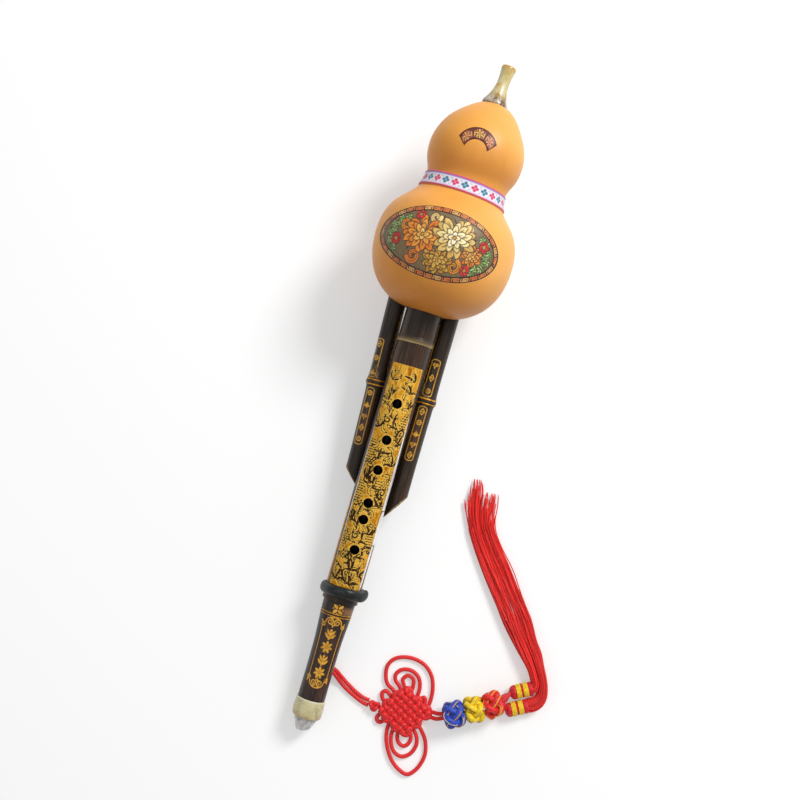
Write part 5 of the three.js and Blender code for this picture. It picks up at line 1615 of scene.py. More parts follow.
def draw_strip(canvas, half, low, high, pattern):
    """A gold frame: a line round a strip whose ends are bowed, filled with small sprigs, lozenges,
    rings and paired leaves, one above the other."""
    bow = np.linspace(0, math.pi, 13)
    top = np.stack([half * np.cos(bow), high - 1.6 + 1.5 * np.sin(bow)], 1)
    bottom = np.stack([-half * np.cos(bow), low + 1.6 - 1.5 * np.sin(bow)], 1)
    canvas.stroke(np.concatenate([top, bottom]), 0.26, closed=True)
    count = max(2, round((high - low - 5) / 6.0))
    for k in range(count):
        at = np.array([0, low + 3.6 + (high - low - 7.2) * k / (count - 1)])
        kind = (k + pattern) % 4
        if kind == 0:
            for side in (-1, 1):
                for lean in (0.5, 1.25):
                    canvas.leaf(at - [0, 1.6], math.pi / 2 - side * lean, 2.5, 0.5, side * 0.2)
            canvas.stroke([at - [0, 2.2], at + [0, 1.6]], (0.3, 0.15))
        elif kind == 1:
            canvas.disc(at, 1.35, ring=0.32)
            canvas.disc(at, 0.5)
        elif kind == 2:
            lozenge = [at + [0, 2.1], at + [1.5, 0], at - [0, 2.1], at - [1.5, 0]]
            canvas.stroke(lozenge, 0.28, closed=True)
            canvas.stroke([at - [0.7, 0], at + [0.7, 0]], 0.3)
        else:
            for side in (-1, 1):
                canvas.scroll(at + [side * 0.85, 0.3], 0.95, 1.1, -math.pi / 2, side, 0.3)
            canvas.stroke([at - [0, 2.0], at - [0, 0.6]], (0.36, 0.24))


def drone_tube(name, drone):
    """A drone's pipe: a tube turned from its radius, its open end sliced slantwise, with a flat for the
    reed. Its cut rim is a rounded band whose section is carried round the slanted edge."""
    matrix, low, side = drone["matrix"], -drone["length"], drone["side"]
    y = np.linspace(low, DRONE_INNER, 140)
    outer = np.stack([drone_radius(drone, y), y], 1)
    inner = np.stack([np.full(28, DRONE_BORE), np.linspace(DRONE_INNER, low, 28)], 1)
    pipe = turned(matrix, np.concatenate([outer, inner]), SLIM_SIDES)
    piece = make_piece(f"{name}_pipe", pipe, name, "smoked_bamboo", (name,))
    near, far = (way * side * 2 * DRONE_RADIUS for way in (-1, 1))
    wedge = prism(matrix, [(near, cut_height(drone, near)), (far, cut_height(drone, far)),
                           (far, low - 40), (near, low - 40)], 2, -12.0, 12.0)
    bored(piece, [wedge, *(box_shape(matrix, *corners) for corners in DRONE_CUTS)])

    angle = whole_turn(SLIM_SIDES)
    section = rounded([(0.07, 1.5), (0.09, 0.1), (-0.35, -0.14), (-1.7, -0.1), (-1.7, 0.6), (-0.5, 1.2)],
                      0.3, 3)
    thick = drone_radius(drone, low + drone["cut"] / 2)
    around = thick + section[:, :1] + 0 * angle
    x = around * np.sin(angle)
    height = cut_height(drone, x) + section[:, 1:] * (1 + 0.3 * np.sin(3 * angle + side))
    around = around + drone_radius(drone, height) - thick
    rim = Shape(matrix)
    rim.surface(np.stack([around * np.sin(angle), height, around * np.cos(angle)], -1), closed=True)
    make_piece(f"{name}_cut_rim", rim, name, "pale_bamboo")


class HULUSI_OT_drones(bpy.types.Operator):
    """The two drone pipes with slanted open ends, joint rings, and gold frames along their fronts"""
    bl_idname = "hulusi.drones"
    bl_label = "Drone pipes"

    def execute(self, context):
        for name, drone in DRONES.items():
            drone_tube(name, drone)
            matrix, node, side = drone["matrix"], drone["node"], drone["side"]
            rings = Shape(matrix)
            for centre, wide, tall in ((node + 1.55, 0.6, 0.4), (node - 1.35, 0.45, 0.34)):
                local = DRONE_RADIUS + joint_swell(centre - node)
                ring = half_ring(local, centre, wide, tall)
                rings.surface(turned_points(ring, SLIM_SIDES), closed=True)
            make_piece(f"{name}_rings", rings, name, "plain_gold")

            # Painted highlight: a lighter tan patch above each drone's joint, narrowing away from it.
            worn = Shape(matrix)
            v = np.linspace(node + 2.6, node + 11.5, 19)[:, None]
            across = np.linspace(-4.4, 4.4, 19) * np.linspace(1, 0.2, 19)[:, None]
            worn.plate(*wrapped(across, v, -32 * DEGREE, drone_radius(drone, v), DRONE_RADIUS))
            make_piece(f"{name}_worn_patch", worn, name, "worn_bamboo")

            frames = Shape(matrix)
            for number, (middle, half, start, stop) in enumerate(drone["strips"]):
                canvas = Canvas((-half - 0.5, half + 0.5), (start - 0.4, stop + 0.4), 0.26)
                draw_strip(canvas, half, start, stop, number + (side > 0))
                v = canvas.v[:, None]
                frames.plate(*wrapped(canvas.u, v, middle * DEGREE, drone_radius(drone, v), DRONE_RADIUS),
                             along=canvas.v, around=canvas.u, ink=canvas.ink)
            make_piece(f"{name}_gold_frames", frames, name, "gilt_bamboo")

            line = Shape(matrix)
            v = np.linspace(node + 8, -3.0, 110)[:, None]
            line.plate(*wrapped(np.linspace(-0.35, 0.35, 3), v, -52 * side * DEGREE, drone_radius(drone, v),
                                DRONE_RADIUS))
            make_piece(f"{name}_gold_line", line, name, "plain_gold")
        return {"FINISHED"}


TAIL_OUTLINE = spline(((8.8, 19.8), (8.65, 40.25), (8.9, 58.1), (9.9, 74.1), (10.3, 83.7)), 0.8)
# The rest of the tail's section: the foot inside the ferrule, and the tenon inside the melody pipe
TAIL_FOOT = ((5.0, 10.3), (6.8, 10.3), (6.8, 19.8))
TAIL_TENON = ((6.0, 83.7), (6.0, 99.5), (7.0, 99.5), (7.0, 101.7), (5.0, 101.7))
TAIL_REACH, TAIL_RINGS = 9.3, (74.9, 76.5)
# The rectangle that the tail's drawing fills: across, and along
TAIL_CANVAS = ((-8.6, 9.2), (25.6, 83.0))
FRAME_LOW, FRAME_HIGH = 35.4, 67.4
CORD_HOLE_STATION, CORD_HOLE_RADIUS, CORD_HOLE_DROP = 39, 2.75, 35 * DEGREE
FERRULE = ([(4.4, 7.3), (9.4, 7.3), (9.75, 11.5), (9.6, 15.5), (9.3, 19.5), (7.1, 19.5), (7.1, 10.0),
            (4.4, 10.0)], [0.3, 1.9, 3.5, 4, 0.5, 0.3, 0.3, 0.3])
NOZZLE = ([(NOZZLE_BORE, -0.9), (NOZZLE_TIP, -0.9), (7.3, 5.6), (7.6, 7.2), (4.1, 7.2), (4.1, 9.4),
           (NOZZLE_BORE, 9.4)], [0.3, 0.9, 1.2, 0.2, 0.2, 0.2, 0.2])


def tail_radius(station):
    return np.interp(station, TAIL_OUTLINE[:, 1], TAIL_OUTLINE[:, 0])


def draw_tail(canvas):
    """The tail's gold drawing: a long frame with a scrolled crown at each end and four sprigs in it,
    and an open blossom above."""
    middle = 0.3
    for side in (-1, 1):
        edge = middle + 6.9 * side
        canvas.stroke([(edge - 0.3 * side, FRAME_LOW), (edge, 50), (edge + 0.1 * side, FRAME_HIGH)], 0.25)
        for end, way in ((FRAME_HIGH, 1), (FRAME_LOW, -1)):
            crown = [(edge, end), (edge + 0.7 * side, end + 1.1 * way), (edge - 0.6 * side, end + 2.2 * way),
                     (edge - 1.6 * side, end + 2.6 * way), (edge - 2.4 * side, end + 4.9 * way),
                     (middle + 2.2 * side, end + 6.6 * way), (middle, end + 7.0 * way)]
            canvas.stroke(spline(crown, 0.5), 0.36)
            canvas.scroll((edge - 0.5 * side, end + 1.3 * way), 1.35, 1.2, 0, side * way, 0.34)
            canvas.leaf((edge - 0.2 * side, end + 1.9 * way), way * (math.pi / 2 - 0.5 * side), 2.3, 0.5, 0.3)
            canvas.scroll((middle + 2.2 * side, end + 3.9 * way), 2.1, 1.35, math.pi / 2 * way, side * way,
                          0.42)
            canvas.leaf((middle, end + 1.6 * way), way * math.pi / 2 + side * 0.8, 2.3, 0.5, 0.2 * side)
    for end, way in ((FRAME_HIGH, 1), (FRAME_LOW, -1)):
        canvas.disc((middle, end + 0.9 * way), 0.42)
    for k, station in enumerate((63.2, 54.9, 46.2, 38.2)):
        at = np.array([middle, station])
        if k % 2 == 0:
            canvas.stroke([at - [0.3, 3.1], at + [0.3, 0], at + [0, 2.6]], (0.55, 0.45, 0.25))
            for side in (-1, 1):
                for foot, lean, long, wide in ((2.4, 1.15, 4.2, 0.8), (0.3, 0.95, 3.9, 0.75)):
                    canvas.leaf(at - [0, foot], math.pi / 2 - side * lean, long, wide, side * 0.3)
            canvas.disc(at + [0, 2.7], 0.75)
        else:
            for petal in range(7):
                angle = math.pi / 2 + TAU * petal / 7
                canvas.leaf(at + 0.9 * compass(angle), angle, 2.9, 0.82, 0.12)
            canvas.disc(at, 0.5)
    for petal in range(4):
        angle = math.pi / 4 + TAU * petal / 4
        canvas.leaf([0.6, 79.9] + 0.7 * compass(angle), angle, 2.9, 0.95, 0.1)
        canvas.disc([0.6, 79.9] + 2.9 * compass(angle + math.pi / 4) * [-1, 1], 0.42)


class HULUSI_OT_tail(bpy.types.Operator):
    """The tail joint with its gold frame, horn ferrule and nozzle"""
    bl_idname = "hulusi.tail"
    bl_label = "Tail joint"

    def execute(self, context):
        outline = np.concatenate([TAIL_FOOT, TAIL_OUTLINE, TAIL_TENON])
        joint = turned(INSTRUMENT, subdivided(outline, 3.0), WIDE_SIDES)
        piece = make_piece("tail_tube", joint, "tail", "tail_bamboo", ("tail_joint",))
        station, aside = CORD_HOLE_STATION, 20 * compass(-CORD_HOLE_DROP)
        bored(piece, [drill(INSTRUMENT, CORD_HOLE_RADIUS, (0, station, 0), (aside[0], station, aside[1]))])

        canvas = Canvas(*TAIL_CANVAS, 0.26)
        draw_tail(canvas)
        v = canvas.v[:, None]
        gold = Shape(INSTRUMENT)
        gold.plate(*wrapped(canvas.u, v, 0, tail_radius(v), TAIL_REACH), along=canvas.v, around=canvas.u,
                   ink=canvas.ink)
        make_piece("tail_gold_frame", gold, "tail", "gilt_tail")

        rings = Shape(INSTRUMENT)
        for station in TAIL_RINGS:
            ring = half_ring(float(tail_radius(station)) + 0.02, station, 0.26, 0.14)
            rings.surface(turned_points(ring, WIDE_SIDES), closed=True)
        make_piece("tail_gold_rings", rings, "tail", "plain_gold")

        ferrule = turned(INSTRUMENT, rounded(*FERRULE, 6), SLIM_SIDES)
        make_piece("tail_horn_ferrule", ferrule, "tail", "ferrule_horn", ("tail_ferrule",))

        def dented(points):
            """Horn cut by hand: three soft facets, and a tip that is a little higher on the right."""
            angle = whole_turn(points.shape[1])
            way = np.stack([np.sin(angle), np.cos(angle)], 1)
            low = np.clip(1 - points[..., 1] / 6, 0, 1)
            points[..., [0, 2]] += (0.25 * np.cos(3 * angle + 0.5) * np.clip(low * 3, 0, 1))[..., None] * way
            points[..., 1] += 0.7 * low * np.sin(angle) - 0.1 * low
            return points

        nozzle = turned(INSTRUMENT, subdivided(rounded(*NOZZLE, 5), 1.2), 64, dented)
        make_piece("tail_horn_nozzle", nozzle, "tail", "nozzle_horn", ("tail_nozzle",))
        return {"FINISHED"}


class HULUSI_OT_collar(bpy.types.Operator):
    """The soft collar that is pushed over the socket of the melody pipe"""
    bl_idname = "hulusi.collar"
    bl_label = "Collar"

    def execute(self, context):
        t = np.linspace(-math.pi / 2, math.pi / 2, 19)
        half, shoulder = COLLAR_LENGTH / 2, 2.6
        outer = np.stack([COLLAR_RADIUS - shoulder + shoulder * np.cos(t) ** 0.8, half * np.sin(t)], 1)
        inner = np.stack([np.full(7, PIPE_RADIUS + 0.3), np.linspace(half, -half, 7)], 1)
        weight = np.concatenate([np.ones(19), np.zeros(7)])[:, None]
        points = turned_points(np.concatenate([outer, inner]) + [0, COLLAR_MIDDLE], WIDE_SIDES)
        angle = whole_turn(WIDE_SIDES)
        lobe = np.exp(-((angle - 80 * DEGREE) / 0.24) ** 2)
        lumpy = weight * (0.3 * np.sin(3 * angle + 0.6) + 0.2 * np.sin(7 * angle) + 0.5 * lobe)
        points[..., 0] += weight * COLLAR_OFFSET + lumpy * np.sin(angle)
        points[..., 2] += lumpy * np.cos(angle)
        points[..., 1] += weight * (0.45 * np.sin(2 * angle + 1.2) + 1.5 * lobe)
        ring = Shape(INSTRUMENT)
        ring.surface(points, closed=True)
        make_piece("soft_collar", ring, "chest", "soft_ring", ("collar_ring",))
        return {"FINISHED"}


# The mouthpiece's section: the shank inside the cork, and the turned horn outside
SHANK = ((2.6, -13), (4.6, -13), (4.6, 0.3))
HORN_SIDE = ((8.2, 0.3), (8.5, 1.2), (7.7, 3.4), (6.25, 6.24), (4.5, 11.64), (4.0, 17.04), (4.45, 22.3),
             (4.85, 24.9), (4.75, 26.2), (4.1, 27.0), (3.2, 26.9), (2.6, 26.2))


class HULUSI_OT_mouthpiece(bpy.types.Operator):
    """The turned horn mouthpiece"""
    bl_idname = "hulusi.mouthpiece"
    bl_label = "Mouthpiece"

    def execute(self, context):
        outline = np.concatenate([SHANK, spline(HORN_SIDE, 0.4)])
        horn = turned(STEM, subdivided(outline, 2.0), SLIM_SIDES)
        make_piece("horn_mouthpiece", horn, "mouthpiece", "mouthpiece_horn", ("mouthpiece",))
        return {"FINISHED"}


NECK_RADIUS = 26.4


class HULUSI_OT_ribbon(bpy.types.Operator):
    """The woven ribbon round the gourd's neck"""
    bl_idname = "hulusi.ribbon"
    bl_label = "Neck ribbon"

    def execute(self, context):
        around, count = TAU * NECK_RADIUS, 26
        canvas = Canvas((0, around), (RIBBON_LOW, RIBBON_HIGH), 0.25, (243, 238, 247))
        middle = (RIBBON_LOW + RIBBON_HIGH) / 2 - 0.25
        tones = (((18, 122, 152), (120, 205, 220)), ((226, 28, 100), (250, 130, 160)))
        for k in range(count + 1):
            at = np.array([k * around / count, middle])
            dark, light = tones[k % 2]
            for arm in (np.array([1, 0]), np.array([0, 1])):
                canvas.stroke([at - 1.9 * arm, at + 1.9 * arm], 0.35, colour=light)
            for x, y in ((1, 0), (-1, 0), (0, 1), (0, -1)):
                canvas.disc(at + np.array([x, y]) * 1.45, 1.0, colour=dark)
            canvas.disc(at, 0.55, colour=light)
            for y in (-1, 1):
                spot = at + [around / count / 2, y * 2.1]
                canvas.disc(spot, 0.34, colour=(150, 140, 160))
                canvas.disc(spot + [0.8, -0.5 * y], 0.22, colour=(190, 180, 205))
        edges = ((RIBBON_HIGH - 0.45, 0.5, (226, 44, 92)), (RIBBON_HIGH - 1.35, 0.42, (158, 130, 214)),
                 (RIBBON_LOW + 0.4, 0.45, (222, 40, 80)), (RIBBON_LOW + 1.35, 0.2, (196, 178, 232)))
        for station, half, colour in edges:
            canvas.stroke([(-1, station), (around + 1, station)], half, colour=colour)
        u, v = np.meshgrid(canvas.u[:-1], canvas.v)
        edge = np.clip(np.minimum(canvas.v - RIBBON_LOW, RIBBON_HIGH - canvas.v) / 0.5, 0, 1)
        thick = (0.55 + 0.5 * np.sin(edge * math.pi / 2))[:, None] + 0 * u
        angle = u / NECK_RADIUS
        v = v - 1.35 - 1.45 * np.sin(angle)
        outer = on_gourd(angle, v, thick)
        inner = on_gourd(angle, v, 0.3)[::-1]
        paint = canvas.colour[:, :-1]
        band = Shape(INSTRUMENT)
        band.surface(np.concatenate([outer, inner]), closed=True,
                     along=np.concatenate([canvas.v, canvas.v[::-1], canvas.v[:1]]), around=canvas.u,
                     paint=np.concatenate([paint, paint[::-1]]))
        make_piece("woven_ribbon", band, "chest", "woven_ribbon", ("neck_ribbon",), 70 * DEGREE)
        return {"FINISHED"}


# The carved and painted oval on the gourd's belly. Places in it are given as they are seen from the
# front, from its middle, and carried to the curved rind.
OVAL_ACROSS, OVAL_STATION = -2.5, 314.5
OVAL_HALF_LENGTH, OVAL_HALF_WIDTH = 37.2, 22.1
OVAL_RADIUS, OVAL_SEED = 44.9, 77
OVAL_ANGLE = math.asin((OVAL_ACROSS - 0.95) / OVAL_RADIUS)
OVAL_CANVAS = ((-50.6, 45.8), (291.2, 337.8))
GROUND_DABS = 900
CARVED, OUTLINE, BORDER_LINE = (56, 30, 22), (52, 28, 20), (34, 18, 14)

# The stamp is drawn flat and bent between two arcs: station of the middle, radius and half angle.
STAMP_HALF, STAMP_TOP, STAMP_ACROSS = 12.5, 7.0, 2.1
LOWER_ARC, UPPER_ARC = (376.2, 7.3, 77 * DEGREE), (378.6, 12.9, 68 * DEGREE)

# Shades of the flowers' four rings of petals, a pair for each, from the outermost
OCHRE = (((190, 134, 40), (206, 154, 52)), ((212, 160, 56), (196, 140, 44)),
         ((226, 178, 70), (214, 160, 58)), ((238, 196, 96), (226, 176, 76)))
ORANGE = (((220, 120, 30), (234, 142, 40)), ((238, 154, 50), (226, 132, 38)),
          ((244, 178, 76), (238, 158, 58)), ((248, 200, 110), (242, 182, 84)))
CREAM = (((222, 184, 100), (210, 168, 82)), ((240, 216, 146), (228, 200, 124)),
         ((248, 232, 176), (240, 218, 154)), ((252, 242, 204), (246, 228, 170)))
# Flowers: place across and along, size and shades
PEONIES = ((1.0, -10.6, 8.4, OCHRE), (20.2, -2.4, 6.8, ORANGE), (-11.6, 2.4, 11.4, ORANGE),
           (7.6, 5.2, 12.0, CREAM))
BLOSSOMS = ((-26.4, -3.2, 3.6), (-15.6, 14.2, 3.0), (26.6, 5.4, 3.5), (18.8, -11.8, 3.2))
# Curled ribbons: place across and along, radius, first angle, hand, half width and colour
RIBBONS = (
    (-22.5, 7.0, 4.2, 0.4, -1, 1.3, (236, 140, 36)), (15.0, 13.3, 3.6, 2.0, 1, 1.2, (238, 196, 104)),
    (11.6, -11.6, 4.2, 1.2, -1, 1.35, (214, 140, 42)), (-14.0, -11.0, 4.4, 3.6, 1, 1.4, (222, 122, 34)),
    (-6.4, 14.6, 3.4, 0.2, -1, 1.15, (240, 208, 130)))


def flat_place(across, along):
    """Where a place seen from the front lies on the oval's canvas."""
    station = OVAL_STATION + np.asarray(along, float)
    out = (OVAL_ACROSS + np.asarray(across) - sway(station)) / gourd_radius(station)
    angle = np.arcsin(np.clip(out, -1, 1))
    return np.stack([(angle - OVAL_ANGLE) * OVAL_RADIUS, station], -1)


def carved_leaf(canvas, start, heading, length, width, colour, bend, veins):
    """A leaf or petal with a carved outline and fine carved veins."""
    canvas.leaf(start, heading, length + 0.4, width + 0.42, bend, colour=CARVED)
    canvas.leaf(start, heading, length, width, bend, 0, colour)
    for k in range(veins):
        off = k - (veins - 1) / 2
        canvas.leaf(start, heading + 0.16 * off, length * (0.72 - 0.1 * abs(off)), 0.15, bend, 0.8, CARVED)


def curled_ribbon(canvas, middle, radius, start, hand, wide, colour):
    """A ribbon wound in a spiral, with a carved outline and a carved line along it."""
    t = np.linspace(0, 1, 22)
    angle = start + hand * TAU * 1.05 * t
    path = middle + (radius * (1 - 0.72 * t))[:, None] * compass(angle)
    wide = wide * (1 - 0.4 * t)
    canvas.stroke(path, wide + 0.4, colour=CARVED)
    canvas.stroke(path, wide, 0, colour)
    canvas.stroke(path[2:], 0.17, 0.8, CARVED)


def oval_place(theta, length_share, width_share):
    """Places on the oval, or on one inside it with these shares of its length and width."""
    return flat_place(OVAL_HALF_LENGTH * length_share * np.cos(theta),
                      OVAL_HALF_WIDTH * width_share * np.sin(theta))


def oval_ring(share):
    """A line round the oval, or a little inside it."""
    return oval_place(np.linspace(0, TAU, 241), share, 1 - (1 - share) * 1.6)


def draw_border(canvas):
    """The oval's border: a dark band between two carved lines, with a meander whose hooks turn in and
    out in turn, in runs between small bars."""
    line = oval_ring(0.957)
    canvas.stroke(line, 1.85, 0.5, (52, 20, 12))
    canvas.stroke(oval_ring(0.912), 0.24, colour=BORDER_LINE)
    canvas.stroke(oval_ring(0.991), 0.42, colour=(44, 20, 14))
    far = walked(line)
    units = 2 * round(far[-1] / 12.4)
    long = far[-1] / units
    key = np.array([(-2.7, 0.8), (-2.7, -0.85), (2.1, -0.85), (2.1, 0.75), (-1.3, 0.75), (-1.3, -0.1),
                    (0.9, -0.1)])

    def on_line(along, aside):
        spots, ahead = (np.stack([np.interp((along + step) % far[-1], far, axis) for axis in line.T], 1)
                        for step in (0, 0.4))
        way = unit(ahead - spots)
        return spots + aside[:, None] * np.stack([-way[:, 1], way[:, 0]], 1)

    for k in range(units):
        hook = on_line(long * k + key[:, 0], key[:, 1] * (-1) ** k)
        canvas.stroke(hook, 0.25, 0, ((242, 142, 66), (246, 184, 104), (238, 128, 60))[k % 3])
        if k % 4 == 3:
            bar = on_line(np.full(2, long * (k + 0.5)), np.array([-1.0, 1.0]))
            canvas.stroke(bar, 0.4, colour=BORDER_LINE)


def peony(canvas, across, along, size, tones, chance):
    """A many-petalled flower: four rings of petals of uneven length and lean, each ring shorter than
    the one under it, with a pair of colours for each."""
    middle = flat_place(across, along)
    rings = ((12, 0.5, 0.52), (9, 0.32, 0.46), (7, 0.14, 0.4), (4, 0.02, 0.28))
    for ring, (count, start, length) in enumerate(rings):
        for k in range(count):
            angle = TAU * (k + 0.4 * ring + chance.uniform(-0.25, 0.25)) / count
            out = [1.16, 0.9] * compass(angle)
            long = size * length * chance.uniform(0.85, 1.2)
            carved_leaf(canvas, middle + size * start * out, math.atan2(out[1], out[0]), long,
                        size * (0.17 - 0.02 * ring), tones[ring][k % 2], chance.uniform(-0.35, 0.35),
                        2 if ring < 2 else 1)
    canvas.outlined_disc(middle, 0.07 * size, 0.04 * size, CARVED, (226, 150, 50))


def blossom(canvas, centre, radius, turn, colour):
    """A red flower: five round petals on a ring, each with a carved vein, and a yellow heart."""
    size = radius * math.sin(math.pi / 5) * 1.02
    angles = turn + whole_turn(5)
    for angle in angles:
        canvas.outlined_disc(centre + (radius - size) * compass(angle), size, 0.4, OUTLINE, colour)
    canvas.outlined_disc(centre, 0.3 * radius, 0.4, OUTLINE, (240, 190, 90))
    for angle in angles:
        canvas.leaf(centre, angle, radius * 0.85, 0.19, 0.1, 0.8, CARVED)


def draw_oval(canvas):
    """The oval picture: a meander border, curly green sprays at both ends, four red blossoms, and
    many-petalled flowers of cream, orange and ochre among curled ribbons and small dark twigs."""
    chance = np.random.default_rng(OVAL_SEED)
    for _ in range(GROUND_DABS):
        angle, away = chance.uniform(0, TAU), math.sqrt(chance.uniform(0, 0.8))
        dab = ((98, 80, 52), (134, 114, 76), (108, 90, 60), (142, 120, 78))[int(chance.integers(4))]
        canvas.leaf(oval_place(angle, away, away), chance.uniform(0, TAU), chance.uniform(0.6, 1.8),
                    0.17, 0.2, 0.3, dab)

    greens = ((156, 192, 104), (124, 164, 82), (172, 204, 122))
    for side, low, high in ((-1, -34, 44), (1, -46, 36)):
        for k in range(10):
            theta = (low + (high - low) * (k + 0.5) / 10) * DEGREE
            share = 0.83 - 0.05 * (k % 2)
            base = oval_place(theta, side * share, share - 0.03)
            out = math.atan2(math.sin(theta), side * math.cos(theta))
            for lean in (-1.1, -0.1, 0.9, 1.9, 2.9, 3.9):
                bend = 0.4 * side * (1 if k % 2 else -1)
                carved_leaf(canvas, base, out + lean, 2.5, 0.52, greens[int(chance.integers(3))], bend, 0)
    for x, y, *ribbon in RIBBONS:
        curled_ribbon(canvas, flat_place(x, y), *ribbon)
    for k in range(16):
        angle = TAU * (k + 0.3) / 16
        at = flat_place(0.8 + 20.5 * math.cos(angle), 0.5 + 13.4 * math.sin(angle))
        canvas.leaf(at, angle + chance.uniform(-0.8, 0.8), 3.4, 0.36, 0.3, colour=(42, 26, 18))
    for x, y, size, tones in PEONIES:
        peony(canvas, x, y, size, tones, chance)
    for number, (x, y, size) in enumerate(BLOSSOMS):
        blossom(canvas, flat_place(x, y), size, 0.7 * number, ((212, 30, 30), (226, 48, 40))[number % 2])
    draw_border(canvas)


def draw_stamp(stamp):
    """The fan-shaped stamp: a dark red border and two bars, and a rosette among small leaves in each of
    the three fields between them."""
    for x, tan in ((-8.2, (226, 160, 96)), (0.0, (226, 176, 92)), (8.2, (222, 150, 98))):
        at = np.array([x, 3.3])
        for petal in range(12):
            angle = TAU * (petal + 0.5) / 12
            if petal % 2:
                stamp.leaf(at + 0.7 * compass(angle), angle, 2.0, 0.52, 0, 0, tan)
            stamp.disc(at + 2.55 * compass(angle), 0.3, 0, tan)
        stamp.disc(at, 0.42, 0, tan)
        for side in (-1, 1):
            stamp.leaf(at + [side * 3.2, -1.9], math.pi / 2, 3.6, 0.34, side * 0.06, 0, tan)
    for x in (-4.1, 4.1):
        stamp.stroke([(x, 0.4), (x, 6.6)], 0.24, colour=(70, 16, 18))
    border = [(-12.2, 0.3), (12.2, 0.3), (12.2, 6.7), (-12.2, 6.7)]
    stamp.stroke(border, 0.5, colour=(84, 18, 20), closed=True)


def carve(name, canvas, angle, station, lift, depth, keep=None):
    """A painted plate on the gourd: it stands `lift` out, and is cut `depth` deep where the ink is."""
    shape = Shape(INSTRUMENT)
    shape.plate(on_gourd(angle, station, lift - depth * canvas.ink), on_gourd(angle, station, -0.6), keep,
                along=canvas.v, around=canvas.u, ink=canvas.ink, paint=canvas.colour)
    make_piece(name, shape, "chest", "painted_carving")


class HULUSI_OT_pictures(bpy.types.Operator):
    """The carved oval on the gourd's belly and the fan-shaped stamp on its bulb"""
    bl_idname = "hulusi.pictures"
    bl_label = "Carved pictures"

    def execute(self, context):
        canvas = Canvas(*OVAL_CANVAS, 0.3, (120, 100, 66))
        draw_oval(canvas)
        u, v = np.meshgrid(canvas.u, canvas.v)
        x = gourd_radius(v) * np.sin(OVAL_ANGLE + u / OVAL_RADIUS) + sway(v) - OVAL_ACROSS
        y = v - OVAL_STATION
        outside = np.hypot(x / OVAL_HALF_LENGTH, y / OVAL_HALF_WIDTH)
        inside = outside < 1
        keep = inside[:-1, :-1] | inside[1:, :-1] | inside[:-1, 1:] | inside[1:, 1:]
        over = np.maximum(outside, 1)
        place = flat_place(x / over, y / over)
        angle = OVAL_ANGLE + place[..., 0] / OVAL_RADIUS
        carve("carved_oval", canvas, angle, place[..., 1], 0.14, 0.09, keep)

        stamp = Canvas((-STAMP_HALF, STAMP_HALF), (0, STAMP_TOP), 0.22, (112, 44, 30))
        draw_stamp(stamp)
        u, v = np.meshgrid(stamp.u / STAMP_HALF, stamp.v / STAMP_TOP)
        x, station = STAMP_ACROSS, 0
        for share, (middle, radius, half) in ((1 - v, LOWER_ARC), (v, UPPER_ARC)):
            x = x + share * radius * np.sin(half * u)
            station = station + share * (middle + radius * np.cos(half * u))
        angle = np.arcsin((x - sway(station)) / gourd_radius(station))
        carve("fan_stamp", stamp, angle, station, 0.1, 0.06)
        return {"FINISHED"}


class HULUSI_OT_inner_parts(bpy.types.Operator):
    """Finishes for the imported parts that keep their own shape: block, bush, corks, reeds and seals"""
    bl_idname = "hulusi.inner_parts"
    bl_label = "Inner parts"

    def execute(self, context):
        kept = {
            "block_wood": ("pipe_block", "stem_bush"),
            "cork_bark": ("mouthpiece_cork", "tail_tenon_wrap", "main_pipe_stopper", "left_drone_stopper",
                          "right_drone_stopper"),
            "reed_brass": ("main_reed", "left_drone_reed", "right_drone_reed"),
            "soft_ring": ("left_drone_seal", "right_drone_seal"),
        }
        for name, nodes in kept.items():
            for node in nodes:
                part = frame["nodes"][node]
                if not part.material_slots:
                    part.data.materials.append(None)
                for place in part.material_slots:
                    place.material = finish(name)
        return {"FINISHED"}


FLOOR_REACH, FLOOR_LEVEL = 6.0, -0.0003
LIGHT_AIM = (0.02, 0.03, 0.03)
# Each lamp's name, the setting of its share, its place and its diameter
LAMPS = (("key_lamp", "key", (0.7, 1.0, 1.15), 0.6), ("fill_lamp", "fill", (-0.9, -0.3, 1.2), 1.2))
CAMERA_PLACE, CAMERA_ROLL = (0.98, 217.1, 800.0), math.atan2(0.2807, 0.9598)


